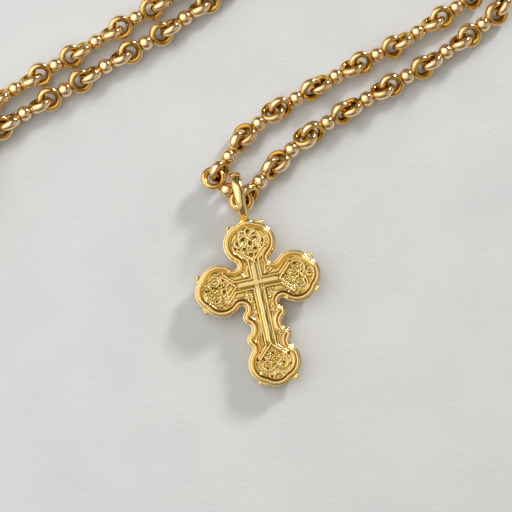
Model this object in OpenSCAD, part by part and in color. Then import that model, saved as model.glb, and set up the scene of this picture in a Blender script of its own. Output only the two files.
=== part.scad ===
// Cast gold cross pendant on a ball and ring chain, laid out on a flat surface.
// Millimetres, +Z up, the surface at z = 0.

/* [Cross] */
// Distance from the crossing to the middle of the upper lobe
top_reach = 7.35; // [7:0.05:7.8]
// Distance from the crossing to the middle of a side lobe
side_reach = 6.75; // [6.5:0.05:7.2]
// Distance from the crossing to the middle of the foot lobe
foot_reach = 14.4; // [14.2:0.05:14.8]
// Thickness over the two raised rims
cross_t = 4.0; // [3.6:0.1:4.4]
// Thickness of the thin edge that runs round the middle
edge_t = 0.6; // [0.4:0.1:0.8]
// Depth of the field below the rim
field_d = 0.5; // [0.3:0.05:0.6]
// Radius of the granules at the lobes
granule_r = 0.62; // [0.5:0.02:0.7]

/* [Relief] */
// Half width of the roof shaped bars along the arms
bar_w = 0.6; // [0.5:0.05:0.7]
// Distance of the border lines from the middle of an arm
border_x = 0.98; // [0.9:0.02:1.1]
// Half width of the border lines
border_w = 0.15; // [0.1:0.01:0.18]
// Thickness of the raised scroll lines
scroll_w = 0.2; // [0.15:0.01:0.25]

/* [Bail] */
// Length of the bail over all, along the cross
bail_l = 9.1; // [8.9:0.1:9.3]
// Height of the bail over all
bail_h = 7.0; // [6.9:0.1:7.3]
// Thickness of the bail's band
bail_t = 1.05; // [1.0:0.05:1.1]
// Width of the band at its far end
bail_far_w = 2.1; // [1.8:0.1:2.4]
// Width of the band where it is soldered to the cross
bail_near_w = 1.5; // [1.3:0.1:1.8]

/* [Chain] */
// Radius of the balls
ball_r = 1.39; // [1.3:0.01:1.42]
// Radius of the rings, to the middle of their wire
ring_r = 1.7; // [1.69:0.01:1.72]
// Radius of the ring wire
wire_r = 0.62; // [0.58:0.01:0.62]
// Distance from a ball to the middle of each ring soldered to it
bond = 3.28; // [3.27:0.01:3.29]
// Spacing of two linked rings on a straight stretch
snug = 2.0; // [1.98:0.01:2.02]
// Spacing of two linked rings on a gentle bend
slack = 1.86; // [1.85:0.01:1.88]
// Spacing of two linked rings on a sharp bend
tight = 1.74; // [1.73:0.01:1.76]

/* [Clasp] */
// Radius of the clasp's barrel
barrel_r = 1.7; // [1.5:0.1:1.9]
// Spacing of the clasp's eyes and the last rings
clasp_gap = 1.8; // [1.76:0.01:1.84]

/* [Hidden] */

gold = [0.83, 0.68, 0.28];
rose_gold = [0.85, 0.62, 0.30];

// Place of the crossing and of the corner unit before the layout is centred
crossing_at = [0.14, -5.57];
corner_at = [-5.4, 11.55];
corner_z = 2.92;
corner_heading = 140;
corner_lean = 8;
// Shift that brings the middle of the whole to the origin
centre_x = 13.47;
centre_y = -29.77;
cross_turn = 12.1;

// Lean of a strand's first ring, and how far the bail lifts the first units
first_lean = 64;
lift_right = 0.62;
lift_left = 0.50;
lift_step = 0.15;

// The chain is laid out as stretches of equal bends.
// Columns: units, turn of each, change of lean of each, spacing of the rings
right_route = [
  [1, 49, 0, tight],
  [1, -7, -6, tight],
  [1, -8, -8, tight],
  [1, -4, -8, slack],
  [1, 0, -6, snug],
  [1, 5, -4, snug],
  [1, 4, 0, snug],
  [7, 22.1, -5, slack],
  [3, 14.7, -5, slack],
  [3, -8.4, -4, slack],
  [3, -0.5, 0, snug],
  [1, 0, 0, snug],
  [1, -17, 6, slack],
  [1, -3, 9, slack],
  [1, 12, 9, slack],
  [1, 34, 8, slack]
];
left_route = [
  [1, 57, 0, tight],
  [1, -18, -6, tight],
  [1, -8, -8, tight],
  [1, -2, -8, slack],
  [1, -2, -6, snug],
  [1, 5, -4, snug],
  [1, 2, 0, snug],
  [5, 30.4, -6, tight],
  [2, 20.4, -4, slack],
  [3, -2.3, -8, slack],
  [2, -4.4, 0, snug],
  [3, 0, 0, snug],
  [2, 25, 8, tight],
  [2, -21, 6, tight],
  [2, -43, 2, tight]
];

// Unit vectors along and to the left of a heading, and the normal of a leaning ring
function way(h) = [cos(h), sin(h), 0];
function left_of(h) = [-sin(h), cos(h), 0];
function ring_face(h, lean) = cos(lean) * [0, 0, 1] - sin(lean) * left_of(h);

// Height of the chain's axis when the steeper rings stand on the surface
function axis_z(lean) = ring_r * max(abs(sin(lean)), abs(cos(lean))) + wire_r;

// Heading, lean and spacing of every unit of a route; every second unit is turned by 90 degrees
function spread(route, row = 0, done = 0, h = 0, lean = first_lean, n = 1) =
  row == len(route) ? []
  : done == route[row][0] ? spread(route, row + 1, 0, h, lean, n)
  : let (h2 = h + route[row][1], lean2 = lean + route[row][2])
    concat([[h2, lean2 + (n % 2 == 0 ? 90 : 0), route[row][3]]],
           spread(route, row, done + 1, h2, lean2, n + 1));

// Direction from a ring's middle to the next one's: the line that both planes share, laid level
function link_way(h, lean, h2, lean2) =
  let (n = cross(ring_face(h, lean), ring_face(h2, lean2)),
       u = [n[0], n[1], 0] / norm([n[0], n[1]]))
  u * (way(h) + way(h2)) < 0 ? -u : u;

// Ball, heading and lean of every unit, each threaded on the ring before it
function thread(units, lift, at, h, lean, k = 0) =
  k == len(units) ? []
  : let (h2 = units[k][0], lean2 = units[k][1],
         q = at + units[k][2] * link_way(h, lean, h2, lean2),
         z = axis_z(lean2) + max(0, lift - lift_step * k),
         ball = [q[0], q[1], z] + bond * way(h2))
    concat([[ball, h2, lean2]], thread(units, lift, ball + bond * way(h2), h2, lean2, k + 1));

corner_ball = [corner_at[0], corner_at[1], corner_z];
bail_ring = corner_ball - bond * way(corner_heading);
far_ring = corner_ball + bond * way(corner_heading);
right_units = thread(spread(right_route), lift_right, bail_ring, corner_heading - 180, -corner_lean);
left_units = thread(spread(left_route), lift_left, far_ring, corner_heading, corner_lean);

// The clasp's eyes hang in the last ring of each strand
function last(list) = list[len(list) - 1];
function eye_of(unit) = unit[0] + (bond + clasp_gap) * way(unit[1]);
eye_a = eye_of(last(right_units));
eye_b = eye_of(last(left_units));

// The outline is a round of arcs that touch, bulging ones in turn with hollow ones.
// A lobe has an outward foil and two side foils.
lobe_out = 4.7;
foil_r = 3.4;
side_foil_r = 3.65;
side_foil_x = 1.1;
side_foil_shift = 0.1;
nick_r = 0.35;
foil_steps = 5;
hollow_steps = 3;

// Columns: x, y, radius of the bulge, radius of the hollow after it, which side the hollow is on
bulges = [
  [0, top_reach + lobe_out - foil_r, foil_r, nick_r, 1],
  [side_foil_x, top_reach + side_foil_shift, side_foil_r, 0.66, -1],
  [side_reach + side_foil_shift, side_foil_x, side_foil_r, nick_r, 1],
  [side_reach + lobe_out - foil_r, 0, foil_r, nick_r, 1],
  [side_reach + side_foil_shift, -side_foil_x, side_foil_r, 0.65, -1],
  [2.58, -5.7, 1.35, 1.1, 1],
  [2.6, -9.9, 1.45, 0.8, 1],
  [side_foil_x, -foot_reach - side_foil_shift, side_foil_r, nick_r, 1],
  [0, -foot_reach - lobe_out + foil_r, foil_r, nick_r, 1]
];

function angle_of(v) = atan2(v[1], v[0]);
function turn_left(a) = a < 0 ? turn_left(a + 360) : a;

// Middle of a circle of radius r that touches two others from outside
function touching(a, ra, b, rb, r, side) =
  let (d = b - a, n = norm(d), p = ra + r, q = rb + r,
       along = (p * p - q * q + n * n) / (2 * n),
       off = sqrt(max(0, p * p - along * along)))
  a + along * d / n + side * off * [-d[1], d[0]] / n;

// Each arc is its middle, radius, sense (1 bulging, -1 hollow) and number of steps
function bulge_arc(k) = [[bulges[k][0], bulges[k][1]], bulges[k][2], 1, foil_steps];
function hollow_arc(k) =
  let (a = bulges[k], b = bulges[k + 1])
  [touching([a[0], a[1]], a[2], [b[0], b[1]], b[2], a[3], a[4]), a[3], -1, hollow_steps];
function mirrored(arc) = [[-arc[0][0], arc[0][1]], arc[1], arc[2], arc[3]];

tail = len(bulges) - 1;
right_arcs = [for (k = [0 : tail - 1]) each (k == 0 ? [hollow_arc(0)] : [bulge_arc(k), hollow_arc(k)])];
left_arcs = [for (k = [len(right_arcs) - 1 : -1 : 0]) mirrored(right_arcs[k])];
arcs = concat([bulge_arc(0)], right_arcs, [bulge_arc(tail)], left_arcs);

// Points of one arc, clockwise round the cross, moved inward by inset
function arc_points(k, inset) =
  let (n = len(arcs), c = arcs[k][0], sense = arcs[k][2], steps = arcs[k][3],
       r = arcs[k][1] - sense * inset,
       from = angle_of(arcs[(k + n - 1) % n][0] - c),
       to = angle_of(arcs[(k + 1) % n][0] - c),
       sweep = sense > 0 ? -turn_left(from - to) : turn_left(to - from))
  [for (i = [0 : steps - 1]) c + r * [cos(from + sweep * i / steps), sin(from + sweep * i / steps)]];
function outline(inset) = [for (k = [0 : len(arcs) - 1]) each arc_points(k, inset)];

// Section of the front half, from the outer edge to the sunk field
half_t = cross_t / 2;
field_z = half_t - field_d;
field_in = 1.3;
ledge_z = 1.35;
// Columns: inset from the outline, height above the middle of the cross
rim = [
  [0, edge_t / 2],
  [0.3, edge_t / 2],
  [0.4, ledge_z - 0.2],
  [0.56, ledge_z],
  [0.76, ledge_z],
  [0.84, half_t - 0.12],
  [0.98, half_t],
  [1.14, half_t],
  [field_in, field_z]
];
rim_last = len(rim) - 1;
section = concat([for (k = [rim_last : -1 : 0]) [rim[k][0], -rim[k][1]]], rim);

// Ellipse of the bail's band, in the plane of the cross's length and thickness
bail_near_y = 11.6;
bail_mid_y = bail_near_y + bail_l / 2;
bail_a = (bail_l - bail_t) / 2;
bail_b = (bail_h - bail_t) / 2;
bail_rings = 36;
bail_sides = 10;

// The cross rests on its foot and on the bail, so it leans by this angle
foot_rest_y = foot_reach + lobe_out - 1;
cross_lean = atan((bail_h - cross_t) / 2 / (bail_mid_y + foot_rest_y));
cross_z = bail_h / 2 * cos(cross_lean) - bail_mid_y * sin(cross_lean);

// Skin through rings of equally many points, closed at both ends
module loft(rings) {
  n = len(rings[0]);
  m = len(rings);
  walls = [for (j = [0 : m - 2]) for (i = [0 : n - 1]) let (k = (i + 1) % n)
    each [[j * n + i, j * n + k, (j + 1) * n + k], [j * n + i, (j + 1) * n + k, (j + 1) * n + i]]];
  ends = [[for (i = [n - 1 : -1 : 0]) i], [for (i = [0 : n - 1]) (m - 1) * n + i]];
  polyhedron(points = [for (ring = rings) each ring], faces = concat(walls, ends));
}

module cross_body() {
  loft([for (s = section) [for (p = outline(s[0])) [p[0], p[1], s[1]]]]);
}

// Granules soldered to the edge where the foils of a lobe meet
granule_at = 4.5;
granule_turn = 43;
module granules() {
  for (lobe = [[0, top_reach, 90], [side_reach, 0, 0], [-side_reach, 0, 180], [0, -foot_reach, -90]])
    for (side = [-1, 1])
      translate([lobe[0], lobe[1], 0]) rotate(lobe[2] + side * granule_turn)
        hull() {
          translate([granule_at, 0, 0]) sphere(r = granule_r, $fn = 12);
          translate([granule_at - 0.7, 0, 0]) sphere(r = edge_t / 2, $fn = 8);
        }
}

// A raised line from p to q, w is half its foot and top half its crest
root = 0.15;
module line_between(p, q, w, top, h) {
  d = q - p;
  translate([p[0], p[1], field_z]) rotate(angle_of(d)) rotate([90, 0, 90])
    linear_extrude(norm(d)) polygon([[-w, -root], [w, -root], [top, h], [-top, h]]);
}

module scroll(x, y, r, h = 0.32) {
  translate([x, y, field_z]) rotate_extrude($fn = 12)
    translate([r, 0]) polygon([[-scroll_w, -root], [scroll_w, -root], [scroll_w * 0.4, h], [-scroll_w * 0.4, h]]);
}

module pearl(x, y, r) {
  translate([x, y, field_z]) sphere(r = r, $fn = 8);
}

module leaf(x, y, length, w) {
  translate([x, y, field_z]) scale([w, length, 0.4]) sphere(r = 1, $fn = 10);
}

// Double lines that open into a V under a lobe, u across the arm and v along it
module gate(v) {
  spread_u = 2.45;
  for (side = [-1, 1]) {
    line_between([0, v], [side * spread_u, v + spread_u], border_w, border_w / 2, 0.4);
    line_between([side * border_x, v + 0.35], [side * (border_x + 1.75), v + 2.1], border_w, border_w / 2, 0.4);
  }
}

// One arm: roof bar, border lines and gate, up to the lobe's V at v
module arm(v) {
  line_between([0, 0], [0, v], bar_w, 0.06, field_d);
  for (side = [-1, 1])
    line_between([side * border_x, border_x], [side * border_x, v + 0.35], border_w, border_w / 2, 0.38);
  gate(v);
}

// Ornament of the upper lobe: two round scrolls over a leaf
module upper_medallion() {
  for (side = [-1, 1]) {
    scroll(side * 1.22, 0.4, 0.62);
    scroll(side * 2.5, -0.9, 0.36);
    line_between([side * 0.15, 0.75], [side * 1.7, 1.35], border_w, 0.06, 0.3);
    line_between([side * 0.2, -1.55], [side * 1.6, -1.3], border_w, 0.06, 0.3);
  }
  scroll(0, 1.75, 0.42);
  leaf(0, -0.6, 0.55, 0.3);
  pearl(0, -2.3, 0.42);
}

// Ornament of the other lobes: a knot of two scrolls with pearls round it
module knot_medallion() {
  for (side = [-1, 1]) {
    scroll(side * 1.4, 0.75, 0.78);
    pearl(side * 1.4, 0.75, 0.28);
    line_between([side * 0.75, 0.35], [side * -0.75, 1.2], border_w, 0.06, 0.34);
    pearl(side * 0.95, -0.75, 0.3);
    scroll(side * 2.2, -0.95, 0.34);
  }
  scroll(0, 2.3, 0.45);
  leaf(0, -0.25, 0.42, 0.26);
  leaf(0, -1.75, 0.55, 0.28);
}

// Wavy lines that follow the shaft's edges, at a share of the way from the border to the rim
shaft_arcs = [9, 14];
shaft_head_y = -2.6;
shaft_foot_y = -12.2;
wave_foot = 0.13;
wave_crest = 0.05;
module shaft_lines() {
  edge = [for (k = [shaft_arcs[0] : shaft_arcs[1]]) each arc_points(k, field_in)];
  inner = [for (p = edge) if (p[1] < shaft_head_y && p[1] > shaft_foot_y) p];
  start_x = border_x + border_w;
  for (share = [0.36, 0.72]) for (side = [-1, 1])
    loft([for (i = [0 : 2 : len(inner) - 1])
      let (x = side * (start_x + share * (inner[i][0] - start_x)), y = inner[i][1])
      [[x - wave_crest, y, field_z + 0.3], [x + wave_crest, y, field_z + 0.3],
       [x + wave_foot, y, field_z - root], [x - wave_foot, y, field_z - root]]]);
}

// Small ornaments in the four corners between the arms
module corner_ornaments() {
  for (i = [0 : 2])
    line_between([-1.45 - 0.42 * i, 1.45], [-1.45 - 0.16 * i, 2.5 - 0.3 * i], 0.12, 0.05, 0.3);
  translate([1.75, 1.8, field_z]) rotate(-45) scale([0.3, 0.6, 0.35]) sphere(r = 1, $fn = 10);
  scroll(-1.75, -1.8, 0.32);
  for (p = [[1.5, -1.6], [2.2, -1.6], [1.6, -2.3]]) pearl(p[0], p[1], 0.24);
}

gate_v = 4.0;
foot_gate_v = 11.4;
module relief() {
  arm(gate_v);
  rotate(90) arm(gate_v - 0.3);
  rotate(-90) arm(gate_v - 0.3);
  rotate(180) arm(foot_gate_v);
  translate([0, top_reach, 0]) upper_medallion();
  translate([side_reach, 0, 0]) rotate(-90) knot_medallion();
  translate([-side_reach, 0, 0]) rotate(90) knot_medallion();
  translate([0, -foot_reach, 0]) rotate(180) knot_medallion();
  shaft_lines();
  corner_ornaments();
}

// Half width of the band, narrowing from the far end to the cross
function band_w(t) = (bail_near_w + (bail_far_w - bail_near_w) * (1 + cos(t)) / 2) / 2;
function band_ring(t) =
  let (n = [cos(t) / bail_a, sin(t) / bail_b], out = n / norm(n), w = band_w(t))
  [for (i = [0 : bail_sides - 1]) let (a = 360 * i / bail_sides, s = bail_t / 2 * sin(a))
    [w * cos(a), bail_mid_y + bail_a * cos(t) + out[0] * s, bail_b * sin(t) + out[1] * s]];

module bail_band() {
  rings = [for (k = [0 : bail_rings - 1]) band_ring(360 * k / bail_rings)];
  n = bail_sides;
  m = bail_rings;
  polyhedron(points = [for (ring = rings) each ring],
    faces = [for (j = [0 : m - 1]) for (i = [0 : n - 1]) let (k = (i + 1) % n, l = (j + 1) % m)
      each [[j * n + i, l * n + k, j * n + k], [j * n + i, l * n + i, l * n + k]]]);
}

// Loop soldered to the head of the cross, with a bare oval dimple near its far end
module bail() {
  difference() {
    bail_band();
    translate([0, bail_mid_y + 3.1, bail_b * 0.62 + 0.72]) rotate([-48, 0, 0])
      scale([0.62, 0.85, 0.24]) sphere(r = 1, $fn = 12);
  }
  hull() {
    translate([0, bail_near_y + 0.75, 0]) scale([0.72, 0.3, 0.72]) sphere(r = 1, $fn = 12);
    translate([0, bail_near_y + 0.2, 0]) scale([1.25, 0.3, 0.6]) sphere(r = 1, $fn = 12);
  }
}

module lay_out() {
  translate([centre_x, centre_y, 0]) children();
}

module cross_pose() {
  translate([crossing_at[0], crossing_at[1], cross_z]) rotate(cross_turn) rotate([cross_lean, 0, 0]) children();
}

// The seams of ring and ball are turned away from where they are soldered
module wire_ring() {
  rotate(90) rotate_extrude() translate([ring_r, 0]) rotate(180) circle(r = wire_r);
}

// A ball with a ring soldered to each side, both rings in one plane
module chain_unit(unit) {
  translate(unit[0]) rotate([0, 0, unit[1]]) rotate([unit[2], 0, 0]) {
    rotate(90) sphere(r = ball_r);
    for (side = [-1, 1]) translate([side * bond, 0, 0]) wire_ring();
  }
}

module cross() {
  color(gold) lay_out() cross_pose() {
    cross_body();
    granules();
    relief();
    bail();
  }
}

module chain_left() {
  color(rose_gold) lay_out() {
    chain_unit([corner_ball, corner_heading, corner_lean]);
    for (unit = left_units) chain_unit(unit);
  }
}

module chain_right() {
  color(rose_gold) lay_out() for (unit = right_units) chain_unit(unit);
}

// Plain barrel with an eye at each end, lying flat
module clasp() {
  d = eye_b - eye_a;
  apart = norm([d[0], d[1]]);
  barrel_l = apart - 2 * ring_r - 0.5;
  color(rose_gold) lay_out() translate(eye_a) rotate(angle_of(d)) {
    wire_ring();
    translate([apart, 0, 0]) wire_ring();
    translate([apart / 2, 0, 0]) rotate([0, 90, 0]) {
      cylinder(r = barrel_r, h = barrel_l - 1.6, center = true);
      for (end = [-1, 1]) translate([0, 0, end * (barrel_l - 1.6) / 2]) {
        mirror([0, 0, end < 0 ? 1 : 0]) cylinder(r1 = barrel_r, r2 = 0.9, h = 0.8);
      }
    }
  }
}

cross();
chain_left();
chain_right();
clasp();
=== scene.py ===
"""A cast gold cross pendant on a ball and ring chain, laid on pale paper under soft light.

Lengths in the dataclasses are millimetres, in the cross's own frame or on the surface; meshes are metres.
"""

import logging
import math
from dataclasses import dataclass, field
from enum import Enum
from typing import Dict, List, Optional, Sequence, Tuple, Union

import bmesh
import bpy
import numpy as np
from mathutils import Matrix, Vector


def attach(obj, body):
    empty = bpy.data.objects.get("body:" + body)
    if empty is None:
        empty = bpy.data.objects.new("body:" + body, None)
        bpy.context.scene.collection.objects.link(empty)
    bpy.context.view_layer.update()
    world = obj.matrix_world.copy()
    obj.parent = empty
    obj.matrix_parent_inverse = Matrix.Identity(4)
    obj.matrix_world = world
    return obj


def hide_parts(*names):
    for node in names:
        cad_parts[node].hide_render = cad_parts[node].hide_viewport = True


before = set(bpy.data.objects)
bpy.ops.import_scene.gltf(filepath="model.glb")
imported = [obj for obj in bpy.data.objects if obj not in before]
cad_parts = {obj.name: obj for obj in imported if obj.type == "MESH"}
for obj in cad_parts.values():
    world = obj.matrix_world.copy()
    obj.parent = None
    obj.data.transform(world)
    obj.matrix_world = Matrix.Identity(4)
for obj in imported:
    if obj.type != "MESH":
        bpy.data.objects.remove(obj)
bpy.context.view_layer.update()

log = logging.getLogger("pendant")
MM = 0.001
TINY = 1e-9
Pair = Tuple[float, float]
Colour = Tuple[float, float, float]


# Surfaces


def unit(v: np.ndarray) -> np.ndarray:
    """Vectors of the last axis, each divided by its own length."""
    return v / np.linalg.norm(v, axis=-1, keepdims=True)


def bell(distance: np.ndarray, width: float) -> np.ndarray:
    """A bump of height 1 over the distance, exp(-(distance / width)^2)."""
    return np.exp(-(distance / width) ** 2)


def spin(angle: float) -> np.ndarray:
    """The matrix that turns by an angle in radians about the upright axis."""
    c, s = math.cos(angle), math.sin(angle)
    return np.array([[c, -s, 0], [s, c, 0], [0, 0, 1]])


def boxy_circle(angle: np.ndarray, power: float) -> Tuple[np.ndarray, np.ndarray]:
    """A circle pulled towards a square: sgn(cos a) |cos a|^p and sgn(sin a) |sin a|^p."""
    across, up = np.cos(angle), np.sin(angle)
    return np.sign(across) * np.abs(across) ** power, np.sign(up) * np.abs(up) ** power


def lattice_faces(rows: int, cols: int, close_rows: bool, close_cols: bool) -> np.ndarray:
    """Quads between neighbouring points of a grid that is numbered row by row.

    Args:
        rows: number of rows.
        cols: points in a row.
        close_rows: whether the last row joins the first.
        close_cols: whether the last point of a row joins its first.

    Returns:
        An array of four point numbers a face.
    """
    j = np.arange(rows if close_rows else rows - 1)[:, None]
    i = np.arange(cols if close_cols else cols - 1)[None, :]
    j2, i2 = (j + 1) % rows, (i + 1) % cols
    quads = np.stack(np.broadcast_arrays(j * cols + i, j2 * cols + i, j2 * cols + i2, j * cols + i2), -1)
    return quads.reshape(-1, 4)


def capped_loft(rings: np.ndarray) -> Tuple[np.ndarray, List]:
    """Skin through rings of equally many points, closed by one flat face at either end.

    Args:
        rings: points as an array of rings by points by 3.

    Returns:
        The points and the faces.
    """
    m, n = rings.shape[:2]
    faces = lattice_faces(m, n, False, True).tolist()
    faces.append(list(range(n)))
    faces.append(list(range(m * n - 1, (m - 1) * n - 1, -1)))
    return rings.reshape(-1, 3), faces


def ball_grid(radii: Sequence[float], rows: int = 16, cols: int = 28) -> Tuple[np.ndarray, List]:
    """Ellipsoid: a point at latitude t and longitude s is (cos t cos s, cos t sin s, sin t) times the radii.

    Args:
        radii: the three half axes.
        rows: bands from pole to pole.
        cols: points round a band.

    Returns:
        The points and the faces; each pole is one shared point.
    """
    t = np.linspace(-np.pi / 2, np.pi / 2, rows + 1)[1:-1, None]
    s = np.linspace(0, 2 * np.pi, cols, endpoint=False)[None, :]
    body = np.stack([np.cos(t) * np.cos(s), np.cos(t) * np.sin(s), np.sin(t) + 0 * s], -1).reshape(-1, 3)
    points = np.vstack([body, [[0, 0, -1], [0, 0, 1]]]) * np.asarray(radii, float)
    n, k = len(body), np.arange(cols)
    nxt, top = (k + 1) % cols, n - cols
    south = np.stack([np.full(cols, n), nxt, k], -1)
    north = np.stack([np.full(cols, n + 1), top + k, top + nxt], -1)
    return points, lattice_faces(rows - 1, cols, False, True).tolist() + south.tolist() + north.tolist()


def torus_grid(radius: float, wide: float, tall: float, rows: int = 48,
               cols: int = 20) -> Tuple[np.ndarray, List]:
    """Ring in the flat plane: the wire's middle runs on a circle, and its section is an oval.

    Args:
        radius: radius of the ring to the wire's middle.
        wide: half axis of the wire in the ring's plane.
        tall: half axis of the wire across that plane.
        rows: steps round the ring.
        cols: steps round the wire.

    Returns:
        The points and the faces.
    """
    u = np.linspace(0, 2 * np.pi, rows, endpoint=False)[:, None]
    v = np.linspace(0, 2 * np.pi, cols, endpoint=False)[None, :]
    r = radius + wide * np.cos(v)
    points = np.stack([r * np.cos(u), r * np.sin(u), tall * np.sin(v) + 0 * u], -1).reshape(-1, 3)
    return points, lattice_faces(rows, cols, True, True).tolist()


def joined(parts: Sequence[Tuple[np.ndarray, List]]) -> Tuple[np.ndarray, List]:
    """Several point and face lists as one, with the faces renumbered."""
    points, faces, start = [], [], 0
    for p, f in parts:
        points.append(p)
        faces.extend([[k + start for k in face] for face in f])
        start += len(p)
    return np.vstack(points), faces


def make_piece(name: str, points: np.ndarray, faces: List, material: bpy.types.Material, crease: float = 40.0,
               recess: Optional[np.ndarray] = None) -> bpy.types.Object:
    """A mesh object at the origin from points in millimetres on the surface.

    Args:
        name: the piece's name.
        points: points in millimetres.
        faces: lists of point numbers.
        material: its finish.
        crease: edges sharper than this many degrees stay crisp.
        recess: painted shade of each point for the finish, from 0 to 1, mostly by how deep it lies below the
            crests.

    Returns:
        The new object.
    """
    mesh = bpy.data.meshes.new(name)
    mesh.from_pydata((np.asarray(points) * MM).tolist(), [], faces)
    work = bmesh.new()
    work.from_mesh(mesh)
    bmesh.ops.recalc_face_normals(work, faces=work.faces)
    work.to_mesh(mesh)
    work.free()
    mesh.polygons.foreach_set("use_smooth", np.ones(len(mesh.polygons), bool))
    mesh.set_sharp_from_angle(angle=math.radians(crease))
    depth = mesh.attributes.new("recess", "FLOAT", "POINT")
    values = np.zeros(len(mesh.vertices), np.float32) if recess is None else recess.astype(np.float32)
    depth.data.foreach_set("value", values)
    mesh.materials.append(material)
    mesh.update()
    piece = bpy.data.objects.new(name, mesh)
    bpy.context.scene.collection.objects.link(piece)
    return piece


# Finishes


class NodeDesk:
    """Puts nodes into a material's tree and joins them."""

    # Numbers of the mix node's sockets when it mixes colours
    mix_share, mix_first, mix_second, mix_result = 0, 6, 7, 2

    def __init__(self, name: str) -> None:
        """Starts an empty material of that name with its output."""
        self.material = bpy.data.materials.new(name)
        self.material.use_nodes = True
        self.tree = self.material.node_tree
        self.tree.nodes.clear()
        self.output = self.tree.nodes.new("ShaderNodeOutputMaterial")

    def add(self, kind: str, **settings: object) -> bpy.types.Node:
        """A node of that kind; settings name its properties, or its sockets where it has no such property.

        Args:
            kind: Blender's name of the node.
            **settings: values of properties or sockets.

        Returns:
            The node.
        """
        made = self.tree.nodes.new(kind)
        for key, value in settings.items():
            if hasattr(made, key):
                setattr(made, key, value)
            else:
                made.inputs[key.replace("_", " ")].default_value = value
        return made

    def wire(self, source: bpy.types.NodeSocket, target: bpy.types.NodeSocket) -> None:
        """Joins an output to an input."""
        self.tree.links.new(source, target)

    def object_space(self, scale: Tuple[float, float, float] = (1, 1, 1),
                     turn: float = 0.0) -> bpy.types.NodeSocket:
        """Object coordinates, scaled and turned about the upright axis.

        Args:
            scale: factors along the axes.
            turn: degrees.

        Returns:
            The vector's socket.
        """
        coords = self.add("ShaderNodeTexCoord")
        mapping = self.add("ShaderNodeMapping")
        mapping.inputs["Scale"].default_value = scale
        mapping.inputs["Rotation"].default_value = (0, 0, math.radians(turn))
        self.wire(coords.outputs["Object"], mapping.inputs["Vector"])
        return mapping.outputs["Vector"]

    def noise(self, vector: bpy.types.NodeSocket, scale: float, detail: float = 3.0) -> bpy.types.NodeSocket:
        """A noise pattern's value on the given coordinates."""
        made = self.add("ShaderNodeTexNoise")
        made.inputs["Scale"].default_value = scale
        made.inputs["Detail"].default_value = detail
        self.wire(vector, made.inputs["Vector"])
        return made.outputs["Fac"]

    def ramp(self, value: bpy.types.NodeSocket, low: Sequence[float], high: Sequence[float],
             start: float = 0.0, end: float = 1.0) -> bpy.types.NodeSocket:
        """A colour that goes from low to high while the value goes from start to end."""
        made = self.add("ShaderNodeValToRGB")
        made.color_ramp.elements[0].position, made.color_ramp.elements[1].position = start, end
        made.color_ramp.elements[0].color = (*low, 1)
        made.color_ramp.elements[1].color = (*high, 1)
        self.wire(value, made.inputs["Fac"])
        return made.outputs["Color"]

    def between(self, value: bpy.types.NodeSocket, low: float, high: float) -> bpy.types.NodeSocket:
        """A number that goes from low to high while the value goes from 0 to 1."""
        made = self.add("ShaderNodeMapRange")
        made.inputs["To Min"].default_value = low
        made.inputs["To Max"].default_value = high
        self.wire(value, made.inputs["Value"])
        return made.outputs["Result"]

    def mix(self, share: bpy.types.NodeSocket, a: bpy.types.NodeSocket,
            b: bpy.types.NodeSocket) -> bpy.types.NodeSocket:
        """Colour a where the share is 0 and b where it is 1."""
        made = self.add("ShaderNodeMix", data_type="RGBA")
        self.wire(share, made.inputs[self.mix_share])
        self.wire(a, made.inputs[self.mix_first])
        self.wire(b, made.inputs[self.mix_second])
        return made.outputs[self.mix_result]

    def bump(self, height: bpy.types.NodeSocket, depth: float, strength: float,
             under: Optional[bpy.types.NodeSocket] = None) -> bpy.types.NodeSocket:
        """A normal raised by the height, depth metres for a height of 1."""
        made = self.add("ShaderNodeBump")
        made.inputs["Strength"].default_value = strength
        made.inputs["Distance"].default_value = depth
        self.wire(height, made.inputs["Height"])
        if under is not None:
            self.wire(under, made.inputs["Normal"])
        return made.outputs["Normal"]


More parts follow.
